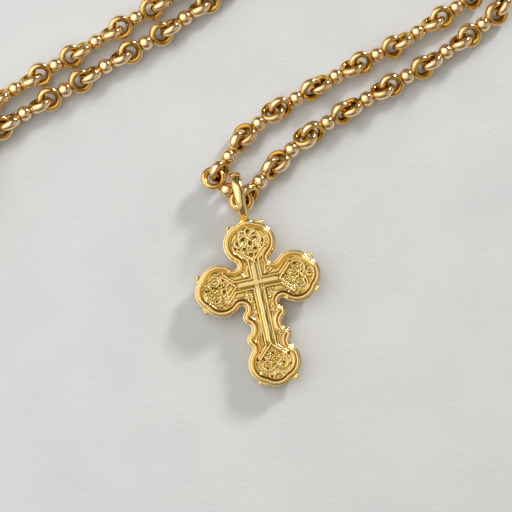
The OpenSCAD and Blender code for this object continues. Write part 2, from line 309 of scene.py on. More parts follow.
@dataclass(frozen=True)
class GoldFinish:
    """Polished cast gold: its colour, the painted shade in its recesses, and how fine its wear is."""

    name: str
    light: Colour
    deep: Colour
    # ground and recess: colours of the painted shade, mixed in where the recess attribute is high
    ground: Colour
    recess: Colour
    smooth: float
    worn: float
    ripple: float
    scratch: float
    drift_scale: float = 140.0
    drift_span: Pair = (0.25, 0.75)
    ground_span: Pair = (0.05, 0.35)
    recess_span: Pair = (0.35, 0.95)
    wear_scale: float = 900.0
    scratch_scale: float = 700.0
    scratch_stretch: float = 14.0
    scratch_turn: float = 37.0
    scratch_depth: float = 0.00001
    cast_scale: float = 1100.0
    cast_depth: float = 0.00006

    def build(self) -> bpy.types.Material:
        """The finish as a material.

        Returns:
            A metal whose colour drifts slowly, carries painted shade in the recesses, and has fine scratches.
        """
        desk = NodeDesk(self.name)
        metal = desk.add("ShaderNodeBsdfPrincipled")
        metal.inputs["Metallic"].default_value = 1.0
        space = desk.object_space()
        drift = desk.noise(space, self.drift_scale, 4.0)
        tone = desk.ramp(drift, self.deep, self.light, *self.drift_span)
        # Painted shade: the recess attribute mixes in the ground colour, then the darker recess colour
        depth = desk.add("ShaderNodeAttribute", attribute_name="recess")
        shaded = tone
        for colour, span in ((self.ground, self.ground_span), (self.recess, self.recess_span)):
            share = desk.ramp(depth.outputs["Fac"], (0, 0, 0), (1, 1, 1), *span)
            stain = desk.add("ShaderNodeRGB")
            stain.outputs[0].default_value = (*colour, 1)
            shaded = desk.mix(share, shaded, stain.outputs[0])
        desk.wire(shaded, metal.inputs["Base Color"])
        wear = desk.noise(space, self.wear_scale, 3.0)
        desk.wire(desk.between(wear, self.smooth, self.worn), metal.inputs["Roughness"])
        stretched = desk.object_space((1, self.scratch_stretch, 1), self.scratch_turn)
        scratch = desk.noise(stretched, self.scratch_scale, 2.0)
        cast = desk.noise(space, self.cast_scale, 2.0)
        rough = desk.bump(scratch, self.scratch_depth, self.scratch)
        desk.wire(desk.bump(cast, self.cast_depth, self.ripple, rough), metal.inputs["Normal"])
        desk.wire(metal.outputs[0], desk.output.inputs["Surface"])
        return desk.material


@dataclass(frozen=True)
class PaperFinish:
    """Pale, faintly grained paper."""

    name: str
    light: Colour
    shade: Colour
    tone_scale: float = 60.0
    tone_span: Pair = (0.3, 0.7)
    roughness: float = 0.85
    felt_scale: float = 620.0
    felt_stretch: float = 1.7
    felt_turn: float = 25.0
    felt_depth: float = 0.00025
    fibre_scale: float = 2600.0
    fibre_depth: float = 0.00006
    grain: float = 0.3

    def build(self) -> bpy.types.Material:
        """The paper as a material, with a soft felt grain."""
        desk = NodeDesk(self.name)
        paper = desk.add("ShaderNodeBsdfPrincipled")
        space = desk.object_space()
        tone = desk.ramp(desk.noise(space, self.tone_scale, 5.0), self.shade, self.light, *self.tone_span)
        desk.wire(tone, paper.inputs["Base Color"])
        paper.inputs["Roughness"].default_value = self.roughness
        felt = desk.noise(desk.object_space((1, self.felt_stretch, 1), self.felt_turn), self.felt_scale, 5.0)
        fibre = desk.noise(space, self.fibre_scale, 2.0)
        coarse = desk.bump(felt, self.felt_depth, self.grain)
        desk.wire(desk.bump(fibre, self.fibre_depth, self.grain, coarse), paper.inputs["Normal"])
        desk.wire(paper.outputs[0], desk.output.inputs["Surface"])
        return desk.material


YELLOW = GoldFinish(
    name="yellow_gold", light=(0.98, 0.75, 0.40), deep=(0.95, 0.70, 0.31), ground=(0.80, 0.62, 0.18),
    recess=(0.24, 0.155, 0.015), smooth=0.11, worn=0.15, ripple=0.02, scratch=0.006,
)
ROSE = GoldFinish(
    name="rose_gold", light=(0.96, 0.73, 0.47), deep=(0.93, 0.68, 0.37), ground=(0.76, 0.47, 0.10),
    recess=(0.20, 0.09, 0.004), smooth=0.10, worn=0.15, ripple=0.05, scratch=0.02,
)
PAPER = PaperFinish(name="paper", light=(0.71, 0.735, 0.765), shade=(0.66, 0.685, 0.715))


# The cross


@dataclass(frozen=True)
class Pose:
    """Where the cross lies: it leans on its bail and is turned on the surface."""

    x: float = 13.61
    y: float = -35.34
    turn: float = 12.1
    bail_height: float = 7.0
    bail_middle: float = 16.15
    foot_rest: float = 18.1
    thickness: float = 4.0

    def place(self, points: np.ndarray) -> np.ndarray:
        """Turns points by the lean about X and by the turn about Z, and moves them to the crossing's place.

        Args:
            points: points in the cross's frame.

        Returns:
            The points on the surface.
        """
        lean = math.atan((self.bail_height - self.thickness) / 2 / (self.bail_middle + self.foot_rest))
        z = self.bail_height / 2 * math.cos(lean) - self.bail_middle * math.sin(lean)
        c, s = math.cos(lean), math.sin(lean)
        tilt = np.array([[1, 0, 0], [0, c, -s], [0, s, c]])
        return points @ (spin(math.radians(self.turn)) @ tilt).T + np.array([self.x, self.y, z])


class Lobe(Enum):
    """The four lobes: place of the middle and the direction that points outward, in degrees."""

    TOP = (0.0, 7.35, 90.0)
    RIGHT = (6.75, 0.0, 0.0)
    LEFT = (-6.75, 0.0, 180.0)
    FOOT = (0.0, -14.4, -90.0)

    def to_cross(self, u: np.ndarray, v: np.ndarray) -> Tuple[np.ndarray, np.ndarray]:
        """Lobe coordinates as cross coordinates.

        Args:
            u: coordinates to the right of the outward direction.
            v: coordinates outward from the lobe's middle.

        Returns:
            The coordinates across and along the cross.
        """
        x, y, outward = self.value
        a = math.radians(outward)
        return x + v * math.cos(a) + u * math.sin(a), y + v * math.sin(a) - u * math.cos(a)


@dataclass
class Outline:
    """The cross's outline: a round of arcs that touch, bulging and hollow ones in turn."""

    lobe_out: float = 4.7
    foil: float = 3.4
    side_foil: float = 3.65
    side_shift: float = 0.1
    side_x: float = 1.1
    head_trim: float = 0.42
    foot_trim: float = 0.28
    nick: float = 0.35
    upper_crotch: float = 0.66
    lower_crotch: float = 0.65
    # Bulges of the wavy shaft: place, radius, and radius of the hollow below
    upper_wave: Tuple[float, ...] = (2.58, -5.7, 1.35, 1.1)
    lower_wave: Tuple[float, ...] = (2.6, -9.9, 1.45, 0.8)
    bulge_steps: int = 22
    hollow_steps: int = 15
    arcs: np.ndarray = field(init=False)
    steps: List[int] = field(init=False)

    def __post_init__(self) -> None:
        """Works out the arcs of the right half and mirrors them."""
        top, side, foot = Lobe.TOP.value[1], Lobe.RIGHT.value[0], -Lobe.FOOT.value[1]
        far, x, r = self.lobe_out - self.foil, self.side_x, self.side_foil
        bulges = [
            (0.0, top + far - self.head_trim, self.foil, self.nick, 1),
            (x, top + self.side_shift, r, self.upper_crotch, -1),
            (side + self.side_shift, x, r, self.nick, 1), (side + far, 0.0, self.foil, self.nick, 1),
            (side + self.side_shift, -x, r, self.lower_crotch, -1), (*self.upper_wave, 1),
            (*self.lower_wave, 1), (x, -foot - self.side_shift, r, self.nick, 1),
            (0.0, -foot - far + self.foot_trim, self.foil, self.nick, 1),
        ]
        right = []
        for a, b in zip(bulges, bulges[1:]):
            right.append((a[0], a[1], a[2], 1))
            right.append((*self.touching(a, b), a[3], -1))
        left = [(-p[0], p[1], p[2], p[3]) for p in reversed(right[1:])]
        last = bulges[-1]
        rows = right + [(last[0], last[1], last[2], 1)] + left
        self.arcs = np.array(rows)
        self.steps = [self.bulge_steps if row[3] > 0 else self.hollow_steps for row in rows]

    @staticmethod
    def touching(a: Sequence[float], b: Sequence[float]) -> Pair:
        """Middle of the hollow arc of radius a[3] that touches bulges a and b, on side a[4].

        It is the third corner of a triangle whose sides are the middles' distance and the two sums of radii.

        Args:
            a: a bulge's place, its radius, the hollow's radius and the hollow's side.
            b: the next bulge, in the same way.

        Returns:
            The hollow arc's middle.
        """
        d = np.array(b[:2]) - np.array(a[:2])
        n, p, q = float(np.linalg.norm(d)), a[2] + a[3], b[2] + a[3]
        along = (p * p - q * q + n * n) / (2 * n)
        off = math.sqrt(max(0.0, p * p - along * along)) * a[4]
        middle = np.array(a[:2]) + along * d / n + off * np.array([-d[1], d[0]]) / n
        return float(middle[0]), float(middle[1])

    def angles(self) -> Tuple[np.ndarray, np.ndarray]:
        """Start angle and sweep of every arc, clockwise round the cross, in radians."""
        c = self.arcs[:, :2]
        before, after = np.roll(c, 1, 0) - c, np.roll(c, -1, 0) - c
        start = np.arctan2(before[:, 1], before[:, 0])
        end = np.arctan2(after[:, 1], after[:, 0])
        clockwise = (start - end) % (2 * np.pi)
        other = (end - start) % (2 * np.pi)
        return start, np.where(self.arcs[:, 3] > 0, -clockwise, other)

    def loop(self, inset: float) -> np.ndarray:
        """Points of the outline moved inward: bulging radii shrink and hollow ones grow by the inset.

        Args:
            inset: distance inward.

        Returns:
            Points by 2, clockwise.
        """
        start, sweep = self.angles()
        share = np.concatenate([np.arange(n) / n for n in self.steps])
        which = np.repeat(np.arange(len(self.steps)), self.steps)
        angle = start[which] + sweep[which] * share
        r = self.arcs[which, 2] - self.arcs[which, 3] * inset
        return self.arcs[which, :2] + r[:, None] * np.stack([np.cos(angle), np.sin(angle)], -1)

    def inset_of(self, x: np.ndarray, y: np.ndarray) -> np.ndarray:
        """Distance of points inside the cross from its outline, the least over the arcs that face them.

        Args:
            x: coordinates across.
            y: coordinates along.

        Returns:
            The distances, negative outside.
        """
        start, sweep = self.angles()
        best = np.full(x.shape, 9.0)
        for (cx, cy, r, sense), a0, da in zip(self.arcs, start, sweep):
            dx, dy = x - cx, y - cy
            turn = (np.arctan2(dy, dx) - a0) * np.sign(da) % (2 * np.pi)
            gap = sense * (r - np.hypot(dx, dy))
            best = np.where((turn <= abs(da) + 1e-6) & (np.abs(gap) < np.abs(best)), gap, best)
        return best


@dataclass
class CrossBody:
    """The cast body: thin edge round the middle, ledge and rounded rim on both faces, sunk fields."""

    outline: Outline
    pose: Pose
    back_field: float = 1.5
    rounding: float = 0.045
    rows: int = 54
    # Painted shade by inset from the outline, faint on the thin edge and darkest in the groove at the rim's
    # foot; it is stronger on the lower-left side, away from the window light
    groove_at: Tuple[float, ...] = (0.0, 0.20, 0.30, 0.45, 0.88, 0.97, 1.05, 1.11, 1.3)
    groove_depth: Tuple[float, ...] = (0.1, 0.2, 0.15, 0.0, 0.1, 0.9, 0.9, 0.0, 0.0)
    grimy_side: Pair = (-0.5, -0.86)
    grime_share: float = 0.34
    back_inset: float = 1.25
    fine_steps: int = 400
    # Columns: inset from the outline, height above the middle plane
    half: Tuple[Pair, ...] = (
        (0.0, 0.0), (0.0, 0.26), (0.03, 0.33), (0.20, 0.345), (0.26, 0.48), (0.30, 0.82), (0.34, 1.12),
        (0.39, 1.27), (0.46, 1.34), (0.60, 1.37), (0.76, 1.34), (0.88, 1.22), (0.98, 1.05), (1.04, 1.06),
        (1.09, 1.32), (1.12, 1.62), (1.15, 1.79), (1.20, 1.87), (1.28, 1.86), (1.34, 1.70), (1.36, 1.45),
        (1.37, 1.2),
    )

    def section(self) -> np.ndarray:
        """The front half's section, evenly resampled by length and softened by a running mean.

        Returns:
            Rows of inset and height from the middle of the edge to below the field.
        """
        p = np.array(self.half)
        run = np.concatenate([[0], np.cumsum(np.hypot(*np.diff(p, axis=0).T))])
        fine = np.linspace(0, run[-1], self.fine_steps)
        q = np.stack([np.interp(fine, run, p[:, 0]), np.interp(fine, run, p[:, 1])], -1)
        width = max(3, int(self.rounding / run[-1] * self.fine_steps) * 2 + 1)
        padded = np.concatenate([np.repeat(q[:1], width // 2, 0), q, np.repeat(q[-1:], width // 2, 0)])
        kernel = np.ones(width) / width
        soft = np.stack([np.convolve(padded[:, k], kernel, "valid") for k in (0, 1)], -1)
        soft[0] = (0.0, 0.0)
        return soft[np.linspace(0, self.fine_steps - 1, self.rows).astype(int)]

    def build(self, finish: bpy.types.Material) -> bpy.types.Object:
        """The body's skin, lofted from the back field over the edge to the front field."""
        front = self.section()
        back = front[front[:, 1] > 0][::-1] * np.array([1, -1])
        back = back[(back[:, 0] < self.back_inset) | (back[:, 1] < -self.back_field)]
        levels = np.concatenate([back, front])
        rings = np.stack([np.column_stack([self.outline.loop(w), np.full(sum(self.outline.steps), z)])
                          for w, z in levels])
        points, faces = capped_loft(rings)
        groove = np.interp(levels[:, 0], self.groove_at, self.groove_depth)
        # Painted shade, stronger where the outline faces the lower left, away from the window light
        facing = unit(self.outline.loop(0.0) - self.outline.loop(0.1)) @ np.array(self.grimy_side)
        recess = (groove[:, None] * (1 - self.grime_share + self.grime_share * facing)).ravel()
        return make_piece("cross_body", self.pose.place(points), faces, finish, 50.0, recess)


LINE_WIDER, LINE_LOWER = 1.12, 0.5
PEARL_WIDER, PEARL_LOWER = 1.15, 0.6


@dataclass(frozen=True)
class Bead:
    """A small raised boss: place, radius and height in millimetres; on a sheet the place is in its pixels."""

    x: float
    y: float
    r: float
    h: float

    def on(self, sheet: "Sheet") -> "Bead":
        """The boss moved off its sheet into the cross's frame, wider and lower than it was drawn."""
        x, y = sheet.to_cross([(self.x, self.y)])[0]
        return Bead(x, y, self.r * PEARL_WIDER, self.h * PEARL_LOWER)


@dataclass(frozen=True)
class Pit:
    """A sunk oval: place and half axes in millimetres; on a sheet the place is in its pixels."""

    x: float
    y: float
    rx: float
    ry: float

    def on(self, sheet: "Sheet") -> "Pit":
        """The oval moved off its sheet into the cross's frame."""
        x, y = sheet.to_cross([(self.x, self.y)])[0]
        return Pit(x, y, self.rx, self.ry)


@dataclass(frozen=True)
class Trail:
    """A raised smooth line: points, half width at the foot and height; on a sheet its points are pixels."""

    points: Tuple[Pair, ...]
    w: float
    h: float

    def on(self, sheet: "Sheet") -> "Trail":
        """The line moved off its sheet into the cross's frame, wider and lower than it was drawn."""
        return Trail(tuple(map(tuple, sheet.to_cross(self.points))), self.w * LINE_WIDER, self.h * LINE_LOWER)

    def smooth(self, steps: int = 5) -> np.ndarray:
        """The line as a spline: between two points it is the cubic that also looks at both their neighbours.

        Args:
            steps: pieces between two points.

        Returns:
            Points by 2.
        """
        p = np.array(self.points, float)
        if len(p) < 3:
            return p
        q = np.vstack([2 * p[0] - p[1], p, 2 * p[-1] - p[-2]])
        t = (np.arange(steps) / steps)[None, :, None]
        a, b, c, d = (q[k:len(q) - 3 + k, None, :] for k in range(4))
        bend, twist = a - 2.5 * b + 2 * c - d / 2, 1.5 * (b - c) + (d - a) / 2
        curve = b + t * (c - a) / 2 + t ** 2 * bend + t ** 3 * twist
        return np.vstack([curve.reshape(-1, 2), p[-1:]])


@dataclass(frozen=True)
class Sheet:
    """Marks of one lobe, chosen on an enlarged crop of the photo, in its pixels to the right and down.

    left and top are the crop's corner in the cross's frame, and scale is its pixels in a millimetre.
    """

    left: float
    top: float
    marks: Tuple[Union[Bead, Pit, Trail], ...]
    scale: float = 95.0

    def to_cross(self, points: Sequence[Pair]) -> np.ndarray:
        """Points of the crop in the cross's frame, in millimetres."""
        return np.array([self.left, self.top]) + np.array(points, float) / self.scale * np.array([1, -1])


@dataclass(frozen=True)
class Bar:
    """A bar's section, as places across it and heights, and the place and strength of the painted shade line
    in its crease.
    """

    section: Tuple[Pair, ...]
    crease: float
    dark: float


LEVEL_BAR = Bar(
    ((-0.62, 0.0), (-0.52, 0.34), (-0.42, 0.40), (0.18, 0.47), (0.26, 0.42), (0.35, 0.14), (0.50, 0.12),
     (0.62, 0.0)),
    0.43, 1.0,
)
UPRIGHT_BAR = Bar(
    ((-0.74, 0.0), (-0.64, 0.36), (-0.56, 0.405), (0.04, 0.43), (0.11, 0.42), (0.30, 0.33), (0.38, 0.31),
     (0.66, 0.30), (0.76, 0.0)),
    0.23, 0.55,
)
BAR_TOP, BAR_SIDE, BAR_FOOT = 3.9, 3.85, 11.2
GATES = {Lobe.TOP: 4.0, Lobe.RIGHT: 3.95, Lobe.LEFT: 3.95, Lobe.FOOT: 11.2}

RIB_WIDTH, RIB_HEIGHT = 0.22, 0.2
RIBS = (
    ((-1.45, 1.5), (-1.62, 3.0)), ((-1.75, 1.45), (-2.1, 2.55)), ((-2.1, 1.4), (-2.6, 2.1)),
    ((-1.4, 2.6), (-1.3, 3.3)),
)
LEAF_ROOT, LEAF_LENGTH, LEAF_TURNS = (1.45, 1.4), 1.5, (18, 45, 72)
CORNER_CURLS = (
    Trail(((-1.4, -1.35), (-2.2, -1.3), (-2.5, -1.75), (-2.05, -2.15), (-1.6, -1.95), (-1.85, -1.65)),
          0.21, 0.18),
    Trail(((-1.35, -2.5), (-1.75, -2.75), (-1.6, -3.3), (-1.35, -3.1)), 0.2, 0.18),
)
CORNER_PEARLS = (
    (1.5, -1.4), (2.0, -1.4), (2.5, -1.45), (1.5, -1.9), (2.0, -1.9), (1.5, -2.4), (1.85, -2.6), (1.5, -2.9),
)
CORNER_PEARL_RADIUS, CORNER_PEARL_HEIGHT = 0.28, 0.2


class Relief:
    """The front's ornament as a height over a fine grid of the sunk field.

    A raised line has height h s((1 - d / w) / side) at distance d from its middle, with t kept from 0 to 1 in
    the smooth step s(t) = t^2 (3 - 2 t), so its top is flat and its sides are steep. Where marks meet, the
    higher one shows.
    """

    # The plate: level of its ground, its hidden underside, inset of its edge, and the factor on all heights
    base_z, floor_z, edge, rise, crease = 1.47, 1.0, 1.24, 0.9, 70.0
    low_corner, high_corner = (-11.2, -19.0), (11.2, 12.0)
    # Marks: steepness of a line's side, room round a mark, a distance beyond every mark
    side, margin, far = 0.75, 0.3, 9.0
    # Grooves at the foot of lines and bosses, and ovals, sunk a little and painted with shade
    groove_width, line_gap, full_line = 0.09, 0.02, 0.34
    boss_power, boss_gap, boss_groove = 0.7, 0.03, 0.8
    oval_rim, oval_depth = 0.06, 1.9
    # Painted shade lines of the bars: at their foot, in their crease, and on the borders beside the level bar
    foot_line, foot_width, foot_dark, crease_width = 0.68, 0.05, 0.7, 0.075
    border_lines, border_width, border_start, border_end = ((-1.22, 1.0), (1.24, 0.8)), 0.07, 1.15, 0.4
    # Fine lengthwise lines over an even painted shade on the level bar's top face; the shade dulls its
    # reflection
    brushed_above, brushed_tone, brushed_wave, brushed_pitch = 0.38, 0.10, 0.08, 0.29
    # Lines of an arm: off its middle, the inner V's reach, where the outer V bends off and its reach
    arm_edge, arm_open, arm_turn, arm_reach = 0.90, 2.45, 0.22, 1.75
    arm_width, arm_height, gate_height = 0.29, 0.34, 0.36
    # Wavy lines beside the shaft
    shaft_inset, shaft_top, shaft_end, shaft_start = 1.3, -2.1, -12.4, 1.12
    shaft_shares, shaft_width, shaft_height = (0.2, 0.5, 0.8), 0.15, 0.26
    # Hairlines down the shaft, with painted shade in their troughs
    hair_top, hair_end, hair_half, hair_pitch, hair_height, hair_dark = -1.3, -11.5, 1.35, 0.36, 0.012, 0.18
    hair_sway, hair_rate = 0.05, 1.7
    # The field's rise to the rim and the groove inside it
    shoulder_height, shoulder_at, shoulder_width = 0.30, 1.28, 0.14
    inner_groove, inner_at, inner_width, inner_below = 0.6, 1.52, 0.08, 0.2
    # How deep the grooves sink, and how much painted shade the grooves and the low ground take
    sink_depth, sink_below, tone_below, tone, groove_tone, groove_most = 0.10, 0.16, 0.15, 0.30, 0.62, 1.2

    def __init__(self, outline: Outline, pose: Pose, step: float = 0.054) -> None:
        """Lays the grid and cuts it off under the rim."""
        self.outline, self.pose = outline, pose
        xs, ys = (np.arange(low, high + step, step) for low, high in zip(self.low_corner, self.high_corner))
        self.x, self.y = np.meshgrid(xs, ys)
        self.inset = outline.inset_of(self.x, self.y)
        self.height, self.pit, self.shade = (np.zeros_like(self.x) for _ in range(3))

    def near(self, points: np.ndarray, margin: float) -> Tuple[slice, slice]:
        """Rows and columns of the grid within a margin of some points.

        Args:
            points: points by 2.
            margin: distance beyond them.

        Returns:
            The rows and the columns.
        """
        step = self.x[0, 1] - self.x[0, 0]
        low, high = points.min(0) - margin, points.max(0) + margin
        c0, c1 = (low[0] - self.x[0, 0]) / step, (high[0] - self.x[0, 0]) / step
        r0, r1 = (low[1] - self.y[0, 0]) / step, (high[1] - self.y[0, 0]) / step
        return slice(max(0, int(r0)), max(0, int(r1) + 2)), slice(max(0, int(c0)), max(0, int(c1) + 2))

    def darken(self, where: np.ndarray, tone: np.ndarray) -> None:
        """Paints shade on the points where a condition holds, unless they are darker already."""
        self.shade = np.maximum(self.shade, np.where(where, tone, 0))

    def raise_line(self, d: np.ndarray, w: float, h: float, area: Tuple[slice, slice]) -> None:
        """Raises a line and sinks a fine groove beside it, which also takes painted shade.

        Args:
            d: distance of the area's points from the line's middle.
            w: half width at the foot.
            h: height.
            area: rows and columns of the grid.
        """
        t = np.clip((1 - d / w) / self.side, 0, 1)
        self.height[area] = np.maximum(self.height[area], h * t * t * (3 - 2 * t))
        groove = bell(d - w - self.line_gap, self.groove_width) * min(1.0, h / self.full_line)
        self.pit[area] = np.maximum(self.pit[area], groove)

    def trail(self, mark: Trail, lobe: Optional[Lobe] = None) -> None:
        """Raises a smooth line; distance is to the nearest of its short straight pieces.

        Args:
            mark: the line.
            lobe: the lobe whose coordinates its points are in, or none for the cross's own.
        """
        points = mark.smooth()
        if lobe:
            points = np.stack(lobe.to_cross(points[:, 0], points[:, 1]), -1)
        area = self.near(points, mark.w + self.margin)
        x, y = self.x[area], self.y[area]
        best = np.full(x.shape, self.far)
        for a, b in zip(points, points[1:]):
            d = b - a
            t = np.clip(((x - a[0]) * d[0] + (y - a[1]) * d[1]) / max(d @ d, TINY), 0, 1)
            best = np.minimum(best, np.hypot(x - a[0] - t * d[0], y - a[1] - t * d[1]))
        self.raise_line(best, mark.w, mark.h, area)

    def bead(self, mark: Bead) -> None:
        """Raises a round boss of height h (1 - (d / r)^2)^0.7 and sinks a groove round its foot, which also
        takes painted shade.
        """
        area = self.near(np.array([[mark.x, mark.y]]), mark.r + self.margin)
        d = np.hypot(self.x[area] - mark.x, self.y[area] - mark.y)
        boss = mark.h * np.clip(1 - (d / mark.r) ** 2, 0, None) ** self.boss_power
        self.height[area] = np.maximum(self.height[area], boss)
        groove = self.boss_groove * bell(d - mark.r - self.boss_gap, self.groove_width)
        self.pit[area] = np.maximum(self.pit[area], groove)

    def hollow(self, mark: Pit) -> None:
        """Sinks an oval between the scrolls, deepest and most heavily painted with shade in its middle."""
        area = self.near(np.array([[mark.x, mark.y]]), max(mark.rx, mark.ry) + self.margin)
        x, y = self.x[area] - mark.x, self.y[area] - mark.y
        d = np.hypot(x / (mark.rx + self.oval_rim), y / (mark.ry + self.oval_rim))
        self.pit[area] = np.maximum(self.pit[area], self.oval_depth * np.exp(-(d ** 3)))

    def bars(self, top: float, side: float, foot: float) -> None:
        """Raises the crossed bars as lopsided roofs: a broad face to one side, a steep one to the other, with
        painted shade.

        Args:
            top: length of the upright bar above the crossing.
            side: length of the level bar to either side.
            foot: length of the upright bar below the crossing.
        """
        x, y = self.x, self.y
        up = (y < top - np.abs(x)) & (y > -foot + np.abs(x))
        level = np.abs(x) < side - np.abs(y)
        for inside, d, bar in ((level, -y, LEVEL_BAR), (up, x, UPRIGHT_BAR)):
            places, heights = np.array(bar.section).T
            self.height = np.maximum(self.height, np.where(inside, np.interp(d, places, heights), 0))
            # Painted shade lines at each bar's foot and in its crease
            foot_line = self.foot_dark * bell(np.abs(d) - self.foot_line, self.foot_width)
            self.darken(inside, foot_line + bar.dark * bell(d - bar.crease, self.crease_width))
        # Fine lines over an even painted shade on the level bar's top face
        brushed = self.brushed_tone - self.brushed_wave * np.cos(2 * np.pi * y / self.brushed_pitch)
        self.darken(level & (np.abs(self.height) > self.brushed_above), brushed)
        # Painted shade lines along the level bar's borders
        beside = (np.abs(x) > self.border_start) & (np.abs(x) < side - self.border_end)
        for place, depth in self.border_lines:
            self.darken(beside, depth * bell(y - place, self.border_width))

    def arm(self, lobe: Lobe, gate: float) -> None:
        """Raises the border lines of one arm and the double V that opens into its lobe.

        Args:
            lobe: the arm's lobe.
            gate: distance from the crossing to the point of the V.
        """
        reach = abs(lobe.value[0]) + abs(lobe.value[1])
        v = gate - reach
        bend = v + self.arm_turn
        for side in (-1, 1):
            edge = side * self.arm_edge
            flare = (side * (self.arm_edge + self.arm_reach), bend + self.arm_reach)
            for line in (((edge, self.arm_edge - reach), (edge, bend)), ((edge, bend), flare)):
                self.trail(Trail(line, self.arm_width, self.arm_height), lobe)
            wing = (side * self.arm_open, v + self.arm_open)
            self.trail(Trail(((0, v), wing), self.arm_width, self.gate_height), lobe)

    def shaft(self) -> None:
        """Raises fine wavy lines beside the shaft's bar, at shares of the way from the border to the rim."""
        loop = self.outline.loop(self.shaft_inset)
        beside = (loop[:, 0] > 0) & (loop[:, 1] < self.shaft_top) & (loop[:, 1] > self.shaft_end)
        edge = loop[beside][::2]
        edge = edge[np.argsort(-edge[:, 1])]
        for share in self.shaft_shares:
            for side in (-1, 1):
                x = side * (self.shaft_start + share * (edge[:, 0] - self.shaft_start))
                line = tuple(map(tuple, np.column_stack([x, edge[:, 1]])[::2]))
                self.trail(Trail(line, self.shaft_width, self.shaft_height))

    def hair(self) -> None:
        """Cuts faint lengthwise lines into the bars and borders, as a slow wave over the height, and paints
        shade in their troughs.
        """
        low = (self.y < self.hair_top) & (self.y > self.hair_end) & (np.abs(self.x) < self.hair_half)
        swayed = self.x + self.hair_sway * np.sin(self.y * self.hair_rate)
        wave = np.cos(2 * np.pi * swayed / self.hair_pitch)
        self.height = self.height + np.where(low, self.hair_height * wave, 0)
        # Painted shade in the troughs of the lines
        self.darken(low, self.hair_dark - self.hair_dark * wave)

    def corners(self) -> None:
        """Raises the small ornaments between the arms: ribs, a leaf of three rays, curls and pearls."""
        rays = []
        for turn in LEAF_TURNS:
            a = math.radians(turn)
            tip = (LEAF_ROOT[0] + LEAF_LENGTH * math.cos(a), LEAF_ROOT[1] + LEAF_LENGTH * math.sin(a))
            rays.append((LEAF_ROOT, tip))
        for line in (*RIBS, *rays):
            self.trail(Trail(line, RIB_WIDTH, RIB_HEIGHT))
        for curl in CORNER_CURLS:
            self.trail(curl)
        for x, y in CORNER_PEARLS:
            self.bead(Bead(x, y, CORNER_PEARL_RADIUS, CORNER_PEARL_HEIGHT))

    def marks(self, sheet: Sheet) -> None:
        """Raises or sinks every mark of one lobe's sheet."""
        ways = {Bead: self.bead, Pit: self.hollow, Trail: self.trail}
        for mark in sheet.marks:
            ways[type(mark)](mark.on(sheet))

    def shoulder(self) -> None:
        """Raises the field where it meets the rim, as a bell over the inset, and sinks a groove inside it,
        which also takes painted shade.
        """
        shoulder = self.shoulder_height * bell(self.inset - self.shoulder_at, self.shoulder_width)
        self.height = np.maximum(self.height, shoulder)
        groove = self.inner_groove * bell(self.inset - self.inner_at, self.inner_width)
        self.pit = np.maximum(self.pit, groove * (self.height < self.inner_below))

    def surface(self) -> Tuple[np.ndarray, List, np.ndarray]:
        """The relief's upper face, cut off under the rim.

        Returns:
            Points, faces and the painted shade of each point.
        """
        sink = self.sink_depth * self.pit * np.clip(1 - self.height / self.sink_below, 0, 1)
        z = self.base_z + self.height * self.rise - sink
        keep = self.inset > self.edge
        cell = keep[:-1, :-1] & keep[1:, :-1] & keep[:-1, 1:] & keep[1:, 1:]
        rows, cols = self.x.shape
        quads = lattice_faces(rows, cols, False, False).reshape(rows - 1, cols - 1, 4)[cell]
        used, where = np.unique(quads, return_inverse=True)
        points = np.stack([self.x, self.y, z], -1).reshape(-1, 3)[used]
        # Painted shade: the low ground and the grooves beside lines, round bosses and in ovals are darker
        grooves = self.tone + self.groove_tone * np.clip(self.pit, 0, self.groove_most)
        depth = np.clip(1 - self.height / self.tone_below, 0, 1) * grooves
        depth = np.clip(np.maximum(depth, self.shade), 0, 1)
        return points, where.reshape(-1, 4).tolist(), depth.reshape(-1)[used]

    def build(self, finish: bpy.types.Material) -> bpy.types.Object:
        """The relief as a plate in its place, closed by a skirt and a flat underside hidden in the body."""
        points, faces, depth = self.surface()
        piece = make_piece("cross_relief", points, faces, finish, self.crease, depth)
        work = bmesh.new()
        work.from_mesh(piece.data)
        rim = [edge for edge in work.edges if edge.is_boundary]
        grown = bmesh.ops.extrude_edge_only(work, edges=rim)["geom"]
        lower = [g for g in grown if isinstance(g, bmesh.types.BMVert)]
        edges = [g for g in grown if isinstance(g, bmesh.types.BMEdge)]
        flatten = Matrix.Translation((0, 0, self.floor_z * MM)) @ Matrix.Diagonal((1, 1, 0, 1))
        bmesh.ops.transform(work, matrix=flatten, verts=lower)
        bmesh.ops.holes_fill(work, edges=edges, sides=0)
        bmesh.ops.recalc_face_normals(work, faces=work.faces)
        work.to_mesh(piece.data)
        work.free()
        co = np.zeros(len(piece.data.vertices) * 3)
        piece.data.vertices.foreach_get("co", co)
        placed = self.pose.place(co.reshape(-1, 3) / MM) * MM
        piece.data.vertices.foreach_set("co", placed.ravel())
        piece.data.polygons.foreach_set("use_smooth", np.ones(len(piece.data.polygons), bool))
        piece.data.set_sharp_from_angle(angle=math.radians(self.crease))
        piece.data.update()
        return piece


